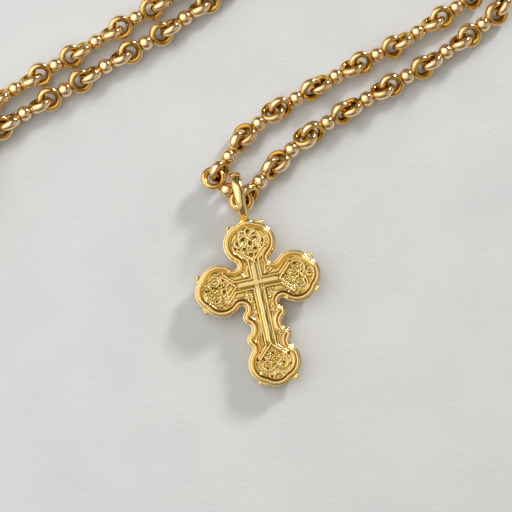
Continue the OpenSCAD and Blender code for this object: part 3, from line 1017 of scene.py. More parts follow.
TOP_SHEET = Sheet(-5.27, 12.26, (
    Trail(((500, 395), (455, 355), (400, 346), (350, 375), (328, 430), (345, 485), (390, 508),
           (435, 490), (455, 450)), 0.24, 0.36),
    Trail(((505, 395), (545, 360), (600, 348), (655, 372), (670, 420), (640, 458), (590, 460),
           (562, 432)), 0.24, 0.36),
    Trail(((540, 325), (580, 300), (640, 288), (690, 335), (708, 405), (690, 470), (650, 500)), 0.24, 0.34),
    Trail(((490, 345), (450, 315), (400, 303), (355, 318), (322, 365)), 0.2, 0.3),
    Trail(((505, 405), (476, 445), (466, 492), (492, 535), (532, 538), (560, 502), (552, 450),
           (520, 412)), 0.2, 0.34),
    Trail(((535, 430), (610, 500), (690, 578)), 0.2, 0.42),
    Trail(((320, 590), (400, 624), (490, 632), (580, 622), (668, 596)), 0.22, 0.34),
    Trail(((300, 385), (262, 405), (248, 455), (266, 505), (312, 525)), 0.22, 0.32),
    Trail(((225, 470), (208, 515), (232, 560), (282, 552)), 0.2, 0.3),
    Trail(((728, 395), (764, 440), (750, 500), (714, 552)), 0.22, 0.32),
    Trail(((472, 302), (470, 245), (512, 216), (562, 232), (576, 276), (545, 306)), 0.22, 0.34),
    Trail(((340, 330), (358, 272), (408, 240), (456, 258)), 0.2, 0.3),
    Trail(((592, 246), (644, 268), (690, 318)), 0.2, 0.3),
    Trail(((440, 655), (466, 626), (520, 624), (546, 660), (528, 704), (488, 722), (452, 698)), 0.2, 0.34),
    Trail(((335, 560), (372, 528), (425, 528), (452, 570)), 0.2, 0.32),
    Trail(((530, 575), (556, 540), (606, 538), (640, 572)), 0.2, 0.32),
    Bead(488, 515, 0.22, 0.42), Bead(414, 262, 0.2, 0.4), Bead(632, 286, 0.2, 0.38),
    Bead(592, 242, 0.17, 0.34), Bead(487, 745, 0.24, 0.4), Bead(320, 505, 0.2, 0.38),
    Bead(345, 585, 0.18, 0.36), Bead(395, 452, 0.42, 0.3), Bead(615, 428, 0.3, 0.3),
    Bead(470, 770, 0.16, 0.3), Bead(230, 440, 0.15, 0.28), Bead(770, 560, 0.16, 0.28),
    Pit(412, 392, 0.34, 0.22), Pit(622, 392, 0.34, 0.2), Pit(514, 472, 0.2, 0.3), Pit(400, 558, 0.26, 0.2),
    Pit(585, 566, 0.36, 0.18), Pit(512, 262, 0.3, 0.2), Pit(492, 672, 0.36, 0.3), Pit(300, 452, 0.12, 0.3),
    Pit(725, 470, 0.12, 0.3), Pit(455, 200, 0.5, 0.1), Pit(650, 250, 0.3, 0.12), Pit(240, 515, 0.14, 0.16),
    Pit(300, 560, 0.14, 0.12), Pit(700, 540, 0.16, 0.14), Pit(545, 765, 0.12, 0.12),
    Pit(430, 765, 0.12, 0.1),
))

RIGHT_SHEET = Sheet(2.13, 4.66, (
    Trail(((400, 242), (470, 206), (545, 212), (602, 252), (632, 322), (612, 398), (560, 440)), 0.24, 0.38),
    Trail(((415, 300), (478, 288), (545, 300), (570, 350), (545, 400)), 0.2, 0.34),
    Trail(((550, 462), (605, 505), (628, 590), (602, 668), (545, 696), (482, 672), (425, 640)), 0.24, 0.4),
    Trail(((505, 520), (560, 540), (578, 590), (548, 640), (498, 630)), 0.2, 0.34),
    Trail(((350, 182), (420, 158), (500, 150), (572, 176), (640, 228)), 0.2, 0.34),
    Trail(((640, 436), (690, 378), (742, 372), (770, 420)), 0.2, 0.34),
    Trail(((640, 452), (700, 430), (752, 452), (768, 500), (740, 540), (690, 540)), 0.2, 0.34),
    Trail(((360, 330), (352, 372), (380, 420), (430, 432)), 0.18, 0.32),
    Trail(((250, 440), (300, 420), (350, 440), (400, 480), (390, 530)), 0.18, 0.32),
    Trail(((300, 520), (350, 545), (410, 540), (440, 500)), 0.18, 0.34),
    Trail(((340, 620), (380, 600), (410, 640), (392, 690), (350, 690)), 0.2, 0.34),
    Trail(((400, 740), (470, 770), (550, 770), (630, 730), (690, 660)), 0.2, 0.34),
    Trail(((660, 250), (710, 300), (740, 350)), 0.18, 0.34),
    Trail(((460, 560), (440, 610), (470, 640)), 0.18, 0.32),
    Trail(((480, 340), (500, 390), (540, 430)), 0.18, 0.3),
    Bead(375, 396, 0.22, 0.44), Bead(446, 372, 0.24, 0.44), Bead(450, 492, 0.27, 0.46),
    Bead(580, 290, 0.2, 0.4), Bead(684, 312, 0.2, 0.4), Bead(740, 398, 0.22, 0.42),
    Bead(660, 490, 0.3, 0.44), Bead(480, 580, 0.22, 0.38), Bead(356, 590, 0.22, 0.4),
    Bead(432, 652, 0.2, 0.4), Bead(228, 470, 0.2, 0.38), Bead(520, 320, 0.24, 0.3),
    Bead(300, 480, 0.18, 0.34), Bead(545, 570, 0.2, 0.32), Bead(700, 600, 0.18, 0.34),
    Bead(395, 770, 0.16, 0.34), Bead(330, 740, 0.18, 0.34),
    Pit(455, 128, 0.4, 0.1), Pit(488, 236, 0.34, 0.14), Pit(560, 402, 0.16, 0.22),
    Pit(590, 575, 0.14, 0.28), Pit(716, 536, 0.24, 0.16), Pit(690, 450, 0.28, 0.12),
    Pit(300, 388, 0.16, 0.16), Pit(250, 408, 0.12, 0.12), Pit(405, 470, 0.14, 0.22),
    Pit(330, 548, 0.12, 0.12), Pit(375, 680, 0.22, 0.14), Pit(470, 760, 0.3, 0.12),
    Pit(400, 300, 0.16, 0.16), Pit(480, 440, 0.12, 0.1), Pit(520, 490, 0.12, 0.14),
    Pit(650, 360, 0.12, 0.22), Pit(640, 620, 0.12, 0.3), Pit(440, 580, 0.12, 0.18), Pit(560, 740, 0.3, 0.1),
))

LEFT_SHEET = Sheet(-12.07, 4.66, (
    Trail(((320, 252), (390, 202), (450, 190), (505, 225), (545, 285)), 0.22, 0.36),
    Trail(((360, 290), (420, 255), (480, 262), (505, 310), (470, 350)), 0.2, 0.34),
    Trail(((545, 240), (540, 300), (530, 350)), 0.18, 0.34),
    Trail(((565, 330), (600, 310), (640, 330), (650, 375), (610, 395)), 0.2, 0.34),
    Trail(((260, 330), (300, 310), (345, 330), (400, 350), (440, 372)), 0.18, 0.32),
    Trail(((520, 510), (512, 462), (548, 428), (592, 446), (604, 492), (578, 520)), 0.22, 0.36),
    Trail(((300, 600), (345, 640), (420, 645), (470, 605), (482, 560)), 0.22, 0.38),
    Trail(((430, 700), (495, 690), (560, 690), (600, 640)), 0.2, 0.34),
    Trail(((225, 455), (215, 500), (240, 545), (285, 540)), 0.2, 0.34),
    Trail(((215, 300), (255, 255), (300, 240)), 0.18, 0.32),
    Trail(((600, 400), (650, 420), (690, 415)), 0.18, 0.32),
    Trail(((640, 480), (610, 530), (590, 600)), 0.2, 0.34),
    Trail(((300, 300), (330, 350), (320, 400)), 0.16, 0.3),
    Trail(((270, 640), (330, 690), (400, 712)), 0.18, 0.34),
    Trail(((400, 120), (470, 108), (540, 130), (600, 170)), 0.18, 0.3),
    Bead(400, 462, 0.24, 0.36), Bead(452, 496, 0.24, 0.36), Bead(440, 560, 0.24, 0.36),
    Bead(362, 560, 0.24, 0.36), Bead(345, 498, 0.24, 0.36), Bead(400, 520, 0.14, 0.2),
    Bead(546, 556, 0.32, 0.48), Bead(574, 356, 0.2, 0.42), Bead(545, 610, 0.2, 0.38),
    Bead(235, 470, 0.2, 0.36), Bead(300, 345, 0.2, 0.38), Bead(250, 385, 0.17, 0.34),
    Bead(350, 380, 0.17, 0.34), Bead(440, 250, 0.22, 0.3), Bead(490, 240, 0.18, 0.34),
    Bead(210, 565, 0.18, 0.4), Bead(545, 680, 0.2, 0.4), Bead(600, 270, 0.2, 0.32),
    Bead(650, 330, 0.17, 0.32), Bead(290, 470, 0.17, 0.32), Bead(500, 430, 0.17, 0.32),
    Bead(280, 540, 0.17, 0.34),
    Pit(420, 400, 0.34, 0.14), Pit(300, 410, 0.26, 0.12), Pit(395, 268, 0.34, 0.16),
    Pit(590, 290, 0.16, 0.2), Pit(650, 400, 0.26, 0.12), Pit(556, 478, 0.24, 0.2), Pit(450, 395, 0.2, 0.12),
    Pit(380, 380, 0.1, 0.12), Pit(262, 300, 0.2, 0.14), Pit(500, 360, 0.12, 0.16), Pit(500, 130, 0.3, 0.1),
    Pit(560, 410, 0.2, 0.1), Pit(310, 610, 0.12, 0.12), Pit(395, 610, 0.24, 0.1), Pit(480, 720, 0.3, 0.12),
    Pit(620, 620, 0.14, 0.2), Pit(260, 420, 0.16, 0.1), Pit(480, 610, 0.12, 0.16),
    Pit(340, 440, 0.12, 0.08),
))

FOOT_SHEET = Sheet(-5.27, -10.34, (
    Trail(((550, 435), (480, 482), (395, 522), (322, 502), (286, 440), (308, 382), (368, 358),
           (425, 380), (440, 418)), 0.26, 0.4),
    Trail(((548, 432), (598, 388), (645, 355), (702, 362), (728, 420), (702, 480), (642, 512),
           (590, 480), (552, 440)), 0.26, 0.4),
    Trail(((245, 520), (330, 562), (405, 572), (470, 552), (515, 524), (560, 552), (622, 578),
           (690, 572), (745, 528)), 0.24, 0.38),
    Trail(((345, 385), (350, 440), (400, 462), (440, 440)), 0.18, 0.3),
    Trail(((600, 410), (612, 450), (660, 465), (690, 430), (680, 390)), 0.18, 0.3),
    Trail(((330, 262), (378, 330), (430, 322), (452, 276), (428, 240), (390, 250)), 0.2, 0.34),
    Trail(((470, 330), (520, 300), (575, 330), (600, 290)), 0.2, 0.34),
    Trail(((640, 290), (690, 310), (740, 330), (770, 390), (760, 450)), 0.2, 0.32),
    Trail(((205, 260), (192, 320), (222, 362), (258, 330), (240, 285)), 0.2, 0.32),
    Trail(((225, 400), (235, 455), (262, 500)), 0.18, 0.3),
    Trail(((365, 604), (430, 596), (500, 566), (570, 590), (660, 604)), 0.2, 0.34),
    Trail(((430, 650), (470, 600), (515, 572), (560, 602), (598, 650)), 0.2, 0.36),
    Trail(((520, 200), (556, 232), (600, 262)), 0.18, 0.3),
    Trail(((790, 300), (815, 370), (805, 450), (770, 520)), 0.18, 0.3),
    Bead(490, 198, 0.22, 0.42), Bead(372, 288, 0.22, 0.42), Bead(430, 296, 0.18, 0.36),
    Bead(520, 272, 0.18, 0.36), Bead(482, 402, 0.22, 0.42), Bead(716, 346, 0.2, 0.42),
    Bead(646, 404, 0.22, 0.4), Bead(500, 644, 0.24, 0.46), Bead(520, 600, 0.16, 0.36),
    Bead(330, 470, 0.2, 0.34), Bead(560, 190, 0.16, 0.3), Bead(455, 345, 0.18, 0.36),
    Bead(540, 350, 0.18, 0.36), Bead(600, 335, 0.17, 0.34), Bead(395, 420, 0.2, 0.34),
    Bead(690, 240, 0.15, 0.3),
    Pit(300, 385, 0.16, 0.28), Pit(420, 395, 0.28, 0.22), Pit(500, 440, 0.2, 0.14),
    Pit(400, 612, 0.22, 0.2), Pit(452, 628, 0.16, 0.2), Pit(572, 624, 0.18, 0.2), Pit(630, 618, 0.22, 0.18),
    Pit(420, 340, 0.2, 0.12), Pit(500, 250, 0.16, 0.2), Pit(590, 255, 0.14, 0.14),
    Pit(330, 310, 0.14, 0.22), Pit(215, 318, 0.14, 0.2), Pit(770, 480, 0.14, 0.3),
    Pit(660, 440, 0.24, 0.14), Pit(350, 480, 0.24, 0.14), Pit(300, 560, 0.1, 0.1), Pit(540, 680, 0.2, 0.12),
    Pit(460, 690, 0.2, 0.1), Pit(760, 300, 0.12, 0.2),
))


@dataclass
class Granules:
    """Eight grains soldered to the thin edge where the foils of a lobe meet."""

    pose: Pose
    grain: float = 0.44
    root: float = 4.05
    web: float = 0.33
    spread: Pair = (1.5, 1.35)
    boxy: float = 0.55
    bulge: float = 1.25
    # Painted shade: the grains are evenly darker than the cross, toning down their reflection
    dull: float = 0.18
    web_end: float = 0.5
    swell: float = 0.08
    # Columns: lobe, angle from the lobe's outward direction, distance of the tip from the lobe's middle
    places: Tuple[Tuple[Lobe, float, float], ...] = (
        (Lobe.TOP, 42.5, 5.2), (Lobe.TOP, -41.0, 5.12), (Lobe.RIGHT, 42.0, 5.2), (Lobe.RIGHT, -41.0, 5.1),
        (Lobe.LEFT, 43.0, 5.1), (Lobe.LEFT, -41.0, 5.2), (Lobe.FOOT, 45.0, 5.15), (Lobe.FOOT, -44.0, 5.08),
    )

    def shape(self, hand: int, tip: float, rows: int = 26, cols: int = 36) -> Tuple[np.ndarray, List]:
        """One grain along +X: it runs back into the edge as a flat web, wider towards the lobe's end.

        Its section is (w sgn(cos a) |cos a|^p, h sgn(sin a) |sin a|^p), a box with rounded corners.

        Args:
            hand: 1 or -1, the side to which the web is wider.
            tip: distance of the grain's end from the lobe's middle.
            rows: steps along it.
            cols: steps round it.

        Returns:
            The points and the faces.
        """
        reach = tip - self.grain
        t = np.linspace(0, 1, rows)
        back = t < self.web_end
        run = np.clip(t / self.web_end, 0, 1)
        cap = np.sin((t - self.web_end) / (1 - self.web_end) * np.pi / 2)
        x = np.where(back, self.root + (reach - self.root) * run, reach + self.grain * cap)
        ball = np.sqrt(np.clip(self.grain ** 2 - (x - reach) ** 2, 1e-6, None))
        wide, narrow = (np.where(back, w + (self.grain - w) * run ** self.bulge, ball) for w in self.spread)
        high = np.where(back, self.web + self.swell * run ** 4, np.minimum(ball, self.web + self.swell))
        a = np.linspace(0, 2 * np.pi, cols, endpoint=False)
        side = np.where(np.cos(a) * hand > 0, wide[:, None], narrow[:, None])
        across, up = boxy_circle(a, self.boxy)
        rings = np.stack([np.repeat(x[:, None], cols, 1), side * across, high[:, None] * up], -1)
        return capped_loft(rings)

    def build(self, finish: bpy.types.Material) -> bpy.types.Object:
        """All eight grains as one piece."""
        parts = []
        for lobe, turn, tip in self.places:
            points, faces = self.shape(-1 if turn > 0 else 1, tip)
            turned = points @ spin(math.radians(lobe.value[2] + turn)).T
            parts.append((turned + np.array([lobe.value[0], lobe.value[1], 0]), faces))
        points, faces = joined(parts)
        # An even painted shade on every grain
        depth = np.full(len(points), self.dull)
        return make_piece("granules", self.pose.place(points), faces, finish, 60.0, depth)


@dataclass
class Bail:
    """The loop at the head of the cross: a rounded band that narrows towards its soldered neck."""

    pose: Pose
    near_y: float = 11.6
    length: float = 9.1
    height: float = 7.0
    band: float = 1.05
    far_width: float = 2.15
    near_width: float = 1.4
    taper: float = 0.8
    boxy: float = 0.95
    mark_at: float = 47.0
    mark_off: float = 0.2
    mark_radius: float = 0.31
    mark_line: float = 0.1
    mark_depth: float = 0.07
    # Width of the painted shade round the pressed ring
    mark_stain: float = 0.15
    # A painted reflection of the dark room: a dark stripe on the outside of the loop
    fold_off: float = 0.27
    fold_at: float = 118.0
    fold_line: float = 0.1
    fold_run: float = 24.0
    fold_dark: float = 0.8
    neck_sunk: float = 0.35
    neck_length: float = 1.4
    neck_half: float = 0.72
    neck_flare: float = 0.85
    neck_hollow: float = 2.4
    neck_height: float = 0.55
    neck_growth: float = 0.28
    # Painted shade on the neck where the bail meets the cross
    neck_dull: float = 0.34

    def loop(self, rows: int = 220, cols: int = 60) -> Tuple[np.ndarray, List, np.ndarray]:
        """A rounded section carried round an upright ellipse; half width w, and thickness along the normal.

        The section is (w sgn(cos s) |cos s|^p, t sgn(sin s) |sin s|^p). A small ring is pressed into the
        outside near the far end; its depth is a bell over the distance from the ring's line. The ring takes
        painted shade, and a dark stripe on the outside is a painted reflection of the dark room.

        Args:
            rows: steps round the loop.
            cols: steps round its section.

        Returns:
            Points, faces and the painted shade of each point.
        """
        mid = self.near_y + self.length / 2
        a, b = (self.length - self.band) / 2, (self.height - self.band) / 2
        t = np.linspace(0, 2 * np.pi, rows, endpoint=False)[:, None]
        s = np.linspace(0, 2 * np.pi, cols, endpoint=False)[None, :]
        w = (self.near_width + (self.far_width - self.near_width) * ((1 + np.cos(t)) / 2) ** self.taper) / 2
        out = unit(np.stack([np.cos(t) / a, np.sin(t) / b], -1))
        side, rise = boxy_circle(s, self.boxy)
        across, off = w * side, self.band / 2 * rise
        at = math.radians(self.mark_at)
        along = (t - at) * math.hypot(a * math.sin(at), b * math.cos(at))
        from_line = np.hypot(along, across - self.mark_off) - self.mark_radius
        off = off - self.mark_depth * bell(from_line, self.mark_line) * (np.sin(s) > 0)
        y = mid + a * np.cos(t) + out[..., 0] * off
        z = b * np.sin(t) + out[..., 1] * off
        points = np.stack([across + 0 * y, y, z], -1).reshape(-1, 3)
        # Painted reflection of the dark room as a dark stripe, and painted shade round the pressed ring
        ends = np.exp(-((np.degrees(t) - self.fold_at) / self.fold_run) ** 4)
        fold = self.fold_dark * bell(across - self.fold_off, self.fold_line) * ends
        shade = np.where(np.sin(s) > 0, np.maximum(bell(from_line, self.mark_stain), fold), 0)
        return points, lattice_faces(rows, cols, True, True).tolist(), shade.ravel()

    def neck(self, rows: int = 14, cols: int = 32) -> Tuple[np.ndarray, List]:
        """The solder fillet: ovals that shrink from the cross's edge to the band, hollow in profile.

        Args:
            rows: steps along it.
            cols: steps round it.

        Returns:
            The points and the faces.
        """
        t = np.linspace(0, 1, rows)[:, None]
        s = np.linspace(0, 2 * np.pi, cols, endpoint=False)[None, :]
        y = self.near_y - self.neck_sunk + self.neck_length * t
        w = self.neck_half + self.neck_flare * (1 - t) ** self.neck_hollow
        h = self.neck_height + self.neck_growth * np.sin(t * np.pi * 0.5)
        return capped_loft(np.stack([w * np.cos(s), y + 0 * s, h * np.sin(s)], -1))

    def build(self, finish: bpy.types.Material) -> bpy.types.Object:
        """Loop and neck as one piece."""
        loop_points, loop_faces, loop_depth = self.loop()
        neck_points, neck_faces = self.neck()
        points, faces = joined([(loop_points, loop_faces), (neck_points, neck_faces)])
        # The neck takes an even painted shade
        depth = np.concatenate([loop_depth, np.full(len(neck_points), self.neck_dull)])
        return make_piece("bail", self.pose.place(points), faces, finish, 60.0, depth)


# The chain


@dataclass(frozen=True)
class Stretch:
    """A run of units that bend alike: how many, turn and change of lean of each, spacing of the rings."""

    units: int
    turn: float
    twist: float
    gap: float


TIGHT, SLACK, SNUG = 1.74, 1.86, 2.0

# As in the part's source; the turns were fitted so that balls lie as in the photo and the loop closes
RIGHT_ROUTE = (
    Stretch(1, 49, 0, TIGHT), Stretch(1, -7, -6, TIGHT), Stretch(1, -8, -8, TIGHT), Stretch(1, -4, -8, SLACK),
    Stretch(1, 0, -6, SNUG), Stretch(1, 5, -4, SNUG), Stretch(1, 4, 0, SNUG), Stretch(7, 22.1, -5, SLACK),
    Stretch(3, 14.7, -5, SLACK), Stretch(3, -8.4, -4, SLACK), Stretch(3, -0.5, 0, SNUG),
    Stretch(1, 0, 0, SNUG), Stretch(1, -17, 6, SLACK), Stretch(1, -3, 9, SLACK), Stretch(1, 12, 9, SLACK),
    Stretch(1, 34, 8, SLACK),
)

LEFT_ROUTE = (
    Stretch(1, 57, 0, TIGHT), Stretch(1, -18, -6, TIGHT), Stretch(1, -8, -8, TIGHT),
    Stretch(1, -2, -8, SLACK), Stretch(1, -2, -6, SNUG), Stretch(1, 5, -4, SNUG), Stretch(1, 2, 0, SNUG),
    Stretch(5, 30.4, -6, TIGHT), Stretch(2, 20.4, -4, SLACK), Stretch(3, -2.3, -8, SLACK),
    Stretch(2, -4.4, 0, SNUG), Stretch(3, 0, 0, SNUG), Stretch(2, 25, 8, TIGHT), Stretch(2, -21, 6, TIGHT),
    Stretch(2, -43, 2, TIGHT),
)


@dataclass(frozen=True)
class ChainUnit:
    """A ball with a ring soldered to each side: its ball's place, heading and lean in degrees."""

    ball: Tuple[float, float, float]
    heading: float
    lean: float

    def axes(self) -> np.ndarray:
        """Rows: the way it points, the level direction turned by the lean, and the rings' normal."""
        h, k = math.radians(self.heading), math.radians(self.lean)
        d = np.array([math.cos(h), math.sin(h), 0.0])
        s = np.array([-math.sin(h), math.cos(h), 0.0])
        up = np.array([0.0, 0.0, 1.0])
        return np.stack([d, math.cos(k) * s + math.sin(k) * up, -math.sin(k) * s + math.cos(k) * up])


@dataclass
class Chain:
    """Sizes of the chain's units and the walk that lays them, each ring threaded on the one before it.

    Wire that would press into the paper is flattened at the height of rest.
    """

    ball: float = 1.39
    fuller: float = 0.05
    ring: float = 1.7
    wire: float = 0.62
    thicker: float = 0.02
    wire_tall: float = 0.94
    waist: float = 0.32
    bond: float = 3.28
    first_lean: float = 64.0
    lift_step: float = 0.15
    rest: float = 0.005
    # Painted shade on the wire's flanks, on the rings' inner side, and on the ball towards its joints
    flank_from: float = 0.55
    flank_dark: float = 0.30
    inner_dark: float = 0.72
    joint_from: float = 0.62
    joint_run: float = 0.25
    right_lift: float = 0.62
    left_lift: float = 0.50
    corner: ChainUnit = ChainUnit((8.07, -18.22, 2.92), 140.0, 8.0)

    def walk(self, route: Sequence[Stretch], lift: float, start: ChainUnit) -> List[ChainUnit]:
        """Lays a strand; each ring's middle lies along the line that both rings' planes share, laid level.

        Args:
            route: the stretches in order.
            lift: how far the bail lifts the first unit.
            start: a unit whose place is the first ring's middle, pointing the way the strand leaves it.

        Returns:
            The units in order.
        """
        units: List[ChainUnit] = []
        at, before = np.array(start.ball), start
        heading, lean, k = 0.0, self.first_lean, 0
        for run in route:
            for _ in range(run.units):
                heading, lean = heading + run.turn, lean + run.twist
                here = ChainUnit((0, 0, 0), heading, lean + (90 if k % 2 else 0))
                shared = np.cross(before.axes()[2], here.axes()[2]) * np.array([1, 1, 0])
                shared = unit(shared)
                if shared @ (before.axes()[0] + here.axes()[0]) < 0:
                    shared = -shared
                ring = at + run.gap * shared
                tilt = math.radians(here.lean)
                z = self.ring * max(abs(math.sin(tilt)), abs(math.cos(tilt))) + self.wire
                middle = np.array([ring[0], ring[1], z + max(0.0, lift - self.lift_step * k)])
                ball = middle + self.bond * here.axes()[0]
                units.append(ChainUnit(tuple(ball), here.heading, here.lean))
                at, before, k = ball + self.bond * here.axes()[0], here, k + 1
        return units

    def template(self) -> Tuple[np.ndarray, List, np.ndarray]:
        """One unit along +X in the flat plane: two rings of oval wire and the ball between them.

        The wire is broadest at the ball and narrows to the ring's far end, where the next ring hangs: its
        half axis across the ring is tall (1 - waist ((1 + cos u) / 2)^2) at the angle u from that end.
        Painted shade rises on the wire's flanks, on the rings' inner side and on the ball towards its two
        joints.

        Returns:
            Points, faces and the painted shade of each point.
        """
        wide = self.wire + self.thicker
        ring_points, ring_faces = torus_grid(self.ring, wide, self.wire_tall)
        reach = np.hypot(ring_points[:, 0], ring_points[:, 1])
        out = (reach - self.ring) / wide
        flank = np.abs(ring_points[:, 2]) / self.wire_tall
        flank_depth = self.flank_dark * np.clip(flank - self.flank_from, 0, 1) / (1 - self.flank_from)
        ring_depth = np.clip(flank_depth - self.inner_dark * np.minimum(out, 0), 0, 1)
        rings = []
        for side in (-1, 1):
            narrow = 1 - self.waist * ((1 + side * ring_points[:, 0] / reach) / 2) ** 2
            shaped = ring_points * np.stack([np.ones_like(reach), np.ones_like(reach), narrow], -1)
            rings.append((shaped + np.array([side * self.bond, 0, 0]), ring_faces))
        ball_points, ball_faces = ball_grid((self.ball + self.fuller,) * 3, 20, 32)
        ball_depth = np.clip((np.abs(ball_points[:, 0]) / self.ball - self.joint_from) / self.joint_run, 0, 1)
        points, faces = joined([(ball_points, ball_faces), *rings])
        return points, faces, np.concatenate([ball_depth, ring_depth, ring_depth])

    def build(self, name: str, units: Sequence[ChainUnit], finish: bpy.types.Material) -> bpy.types.Object:
        """Sets the template at every unit at once, by each unit's axes and place.

        Args:
            name: the strand's name.
            units: its units.
            finish: its metal.

        Returns:
            The strand.
        """
        points, faces, depth = self.template()
        axes = np.stack([u.axes() for u in units])
        places = np.array([u.ball for u in units])
        everywhere = np.einsum("pk,ukc->upc", points, axes) + places[:, None, :]
        everywhere[..., 2] = np.maximum(everywhere[..., 2], self.rest)
        n = len(points)
        all_faces = [[k + n * j for k in face] for j in range(len(units)) for face in faces]
        depths = np.tile(depth, len(units))
        return make_piece(name, everywhere.reshape(-1, 3), all_faces, finish, 60.0, depths)


@dataclass
class Clasp:
    """A plain barrel with an eye at either end, threaded on the last rings."""

    chain: Chain
    gap: float = 1.8
    play: float = 0.5
    # Columns: place along the barrel from its end, or from its middle, and radius
    cap: Tuple[Pair, ...] = ((0.0, 0.55), (0.05, 0.9), (0.5, 1.35), (0.8, 1.6), (1.0, 1.7))
    groove: Tuple[Pair, ...] = ((-0.75, 1.7), (-0.68, 1.6), (-0.6, 1.7))

    def eye_of(self, last: ChainUnit) -> np.ndarray:
        """Middle of the eye that hangs in a strand's last ring."""
        return np.array(last.ball) + (self.chain.bond + self.gap) * last.axes()[0]

    def barrel(self, half: float, rows: int = 70, cols: int = 48) -> Tuple[np.ndarray, List]:
        """The turned barrel along the X axis about its middle: rounded caps and two grooves.

        Args:
            half: half its length.
            rows: steps along it.
            cols: steps round it.

        Returns:
            The points and the faces.
        """
        left = [(along - half, radius) for along, radius in self.cap] + list(self.groove)
        turned = np.array(left + [(-along, radius) for along, radius in reversed(left)])
        fine = np.linspace(0, len(turned) - 1, rows)
        x, r = (np.interp(fine, np.arange(len(turned)), turned[:, k]) for k in (0, 1))
        s = np.linspace(0, 2 * np.pi, cols, endpoint=False)
        rings = np.stack([np.repeat(x[:, None], cols, 1), r[:, None] * np.cos(s), r[:, None] * np.sin(s)], -1)
        return capped_loft(rings)

    def build(self, a: ChainUnit, b: ChainUnit, finish: bpy.types.Material) -> bpy.types.Object:
        """The two eyes and the barrel between them.

        Args:
            a: the right strand's last unit.
            b: the left strand's last unit.
            finish: its metal.

        Returns:
            The clasp.
        """
        start, end = self.eye_of(a), self.eye_of(b)
        apart = float(np.linalg.norm(end - start))
        eye, eye_faces = torus_grid(self.chain.ring, self.chain.wire, self.chain.wire)
        barrel, barrel_faces = self.barrel((apart - 2 * self.chain.ring - self.play) / 2)
        points, faces = joined([(eye, eye_faces), (eye + np.array([apart, 0, 0]), eye_faces),
                                (barrel + np.array([apart / 2, 0, 0]), barrel_faces)])
        d = (end - start) / apart
        turn = np.array([[d[0], -d[1], 0], [d[1], d[0], 0], [0, 0, 1]])
        return make_piece("clasp_barrel", points @ turn.T + start, faces, finish, 35.0)


# The picture


@dataclass(frozen=True)
class Lamp:
    """A square soft light: where it shines from, how large it is and how strong."""

    name: str
    azimuth: float
    elevation: float
    distance: float
    size: float
    power: float
    colour: Colour


LAMPS = (
    Lamp("window", 37.0, 24.0, 1.2, 0.19, 9.2, (1.0, 0.985, 0.96)),
    Lamp("ceiling", -50.0, 76.0, 0.58, 0.54, 0.13, (0.98, 0.99, 1.0)),
    Lamp("wall", -75.0, 46.0, 0.30, 0.42, 0.42, (0.98, 0.99, 1.0)),
    Lamp("room", -100.0, 58.0, 0.90, 1.9, 5.9, (0.98, 0.99, 1.0)),
    Lamp("glow", 105.0, 28.0, 0.90, 0.9, 0.7, (1.0, 0.97, 0.92)),
)


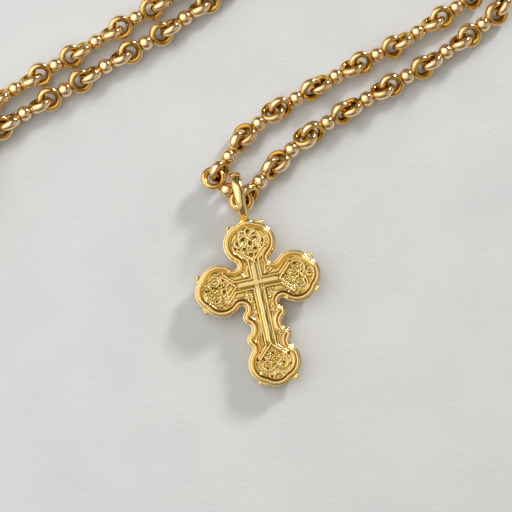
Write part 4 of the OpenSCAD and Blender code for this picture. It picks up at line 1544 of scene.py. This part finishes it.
@dataclass
class Studio:
    """Camera, lights and paper."""

    target: Tuple[float, float, float] = (13.27, -30.24, 2.5)
    elevation: float = 80.0
    distance: float = 450.0
    wide: float = 92.16
    sensor: float = 36.0
    nearest: float = 0.01
    farthest: float = 20.0
    room_colour: Tuple[float, ...] = (1.0, 0.84, 0.58, 1.0)
    room_strength: float = 0.21
    paper_half: float = 2.2
    lamps: Tuple[Lamp, ...] = LAMPS

    def camera(self) -> None:
        """Sets the camera above the picture's lower edge, looking down on the target."""
        e = math.radians(self.elevation)
        back = Vector((0, -math.cos(e), math.sin(e)))
        data = bpy.data.cameras.new("camera")
        data.sensor_width = self.sensor
        data.lens = self.sensor * self.distance / self.wide
        data.clip_start, data.clip_end = self.nearest, self.farthest
        made = bpy.data.objects.new("camera", data)
        made.location = Vector(self.target) * MM + back * self.distance * MM
        made.rotation_mode = "QUATERNION"
        made.rotation_quaternion = (-back).to_track_quat("-Z", "Y")
        bpy.context.scene.collection.objects.link(made)
        bpy.context.scene.camera = made

    def lights(self) -> None:
        """Hangs the soft lights and sets the room's even light."""
        aim = Vector(self.target) * MM
        for lamp in self.lamps:
            a, e = math.radians(lamp.azimuth), math.radians(lamp.elevation)
            away = Vector((math.sin(a) * math.cos(e), math.cos(a) * math.cos(e), math.sin(e)))
            data = bpy.data.lights.new(lamp.name, "AREA")
            data.shape, data.size = "SQUARE", lamp.size
            data.energy, data.color = lamp.power, lamp.colour
            made = bpy.data.objects.new(lamp.name, data)
            made.location = aim + away * lamp.distance
            made.rotation_mode = "QUATERNION"
            made.rotation_quaternion = away.to_track_quat("Z", "Y")
            bpy.context.scene.collection.objects.link(made)
        world = bpy.data.worlds.new("room")
        world.use_nodes = True
        background = world.node_tree.nodes["Background"]
        background.inputs["Color"].default_value = self.room_colour
        background.inputs["Strength"].default_value = self.room_strength
        bpy.context.scene.world = world
        bpy.context.scene.view_settings.view_transform = "Standard"

    def paper(self, finish: bpy.types.Material) -> None:
        """Lays the paper that the necklace rests on."""
        half = self.paper_half
        mesh = bpy.data.meshes.new("paper")
        corners = [(-half, -half, 0), (half, -half, 0), (half, half, 0), (-half, half, 0)]
        mesh.from_pydata(corners, [], [(0, 1, 2, 3)])
        mesh.materials.append(finish)
        made = bpy.data.objects.new("paper", mesh)
        bpy.context.scene.collection.objects.link(made)


def seat(piece: bpy.types.Object, slot: str, *nodes: str) -> None:
    """Lets a piece stand for CAD nodes, ride on the body, and reports it.

    Args:
        piece: the finished piece.
        slot: not used.
        *nodes: the CAD nodes that it stands for.
    """
    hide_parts(*nodes)
    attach(piece, "root")
    log.info("%s: %d faces for %s", piece.name, len(piece.data.polygons), ", ".join(nodes))


def main() -> None:
    """Builds the studio, then every piece in order."""
    logging.basicConfig(level=logging.INFO, format="%(name)s: %(message)s")
    studio = Studio()
    studio.camera()
    studio.lights()
    studio.paper(PAPER.build())
    yellow, rose = YELLOW.build(), ROSE.build()

    pose, outline = Pose(), Outline()
    seat(CrossBody(outline, pose).build(yellow), "yellow_gold", "cross")
    relief = Relief(outline, pose)
    relief.bars(BAR_TOP, BAR_SIDE, BAR_FOOT)
    for lobe, gate in GATES.items():
        relief.arm(lobe, gate)
    relief.shaft()
    relief.hair()
    relief.corners()
    relief.shoulder()
    for sheet in (TOP_SHEET, RIGHT_SHEET, LEFT_SHEET, FOOT_SHEET):
        relief.marks(sheet)
    seat(relief.build(yellow), "yellow_gold", "cross")
    seat(Granules(pose).build(yellow), "yellow_gold", "cross")
    seat(Bail(pose).build(yellow), "yellow_gold", "cross")

    chain = Chain()
    middle, along = np.array(chain.corner.ball), chain.bond * chain.corner.axes()[0]
    back = ChainUnit(tuple(middle - along), chain.corner.heading - 180, -chain.corner.lean)
    on = ChainUnit(tuple(middle + along), chain.corner.heading, chain.corner.lean)
    right = chain.walk(RIGHT_ROUTE, chain.right_lift, back)
    left = chain.walk(LEFT_ROUTE, chain.left_lift, on)
    seat(chain.build("strand_left", [chain.corner, *left], rose), "rose_gold", "chain_left")
    seat(chain.build("strand_right", right, rose), "rose_gold", "chain_right")
    seat(Clasp(chain).build(right[-1], left[-1], rose), "rose_gold", "clasp")


if __name__ == "__main__":
    main()
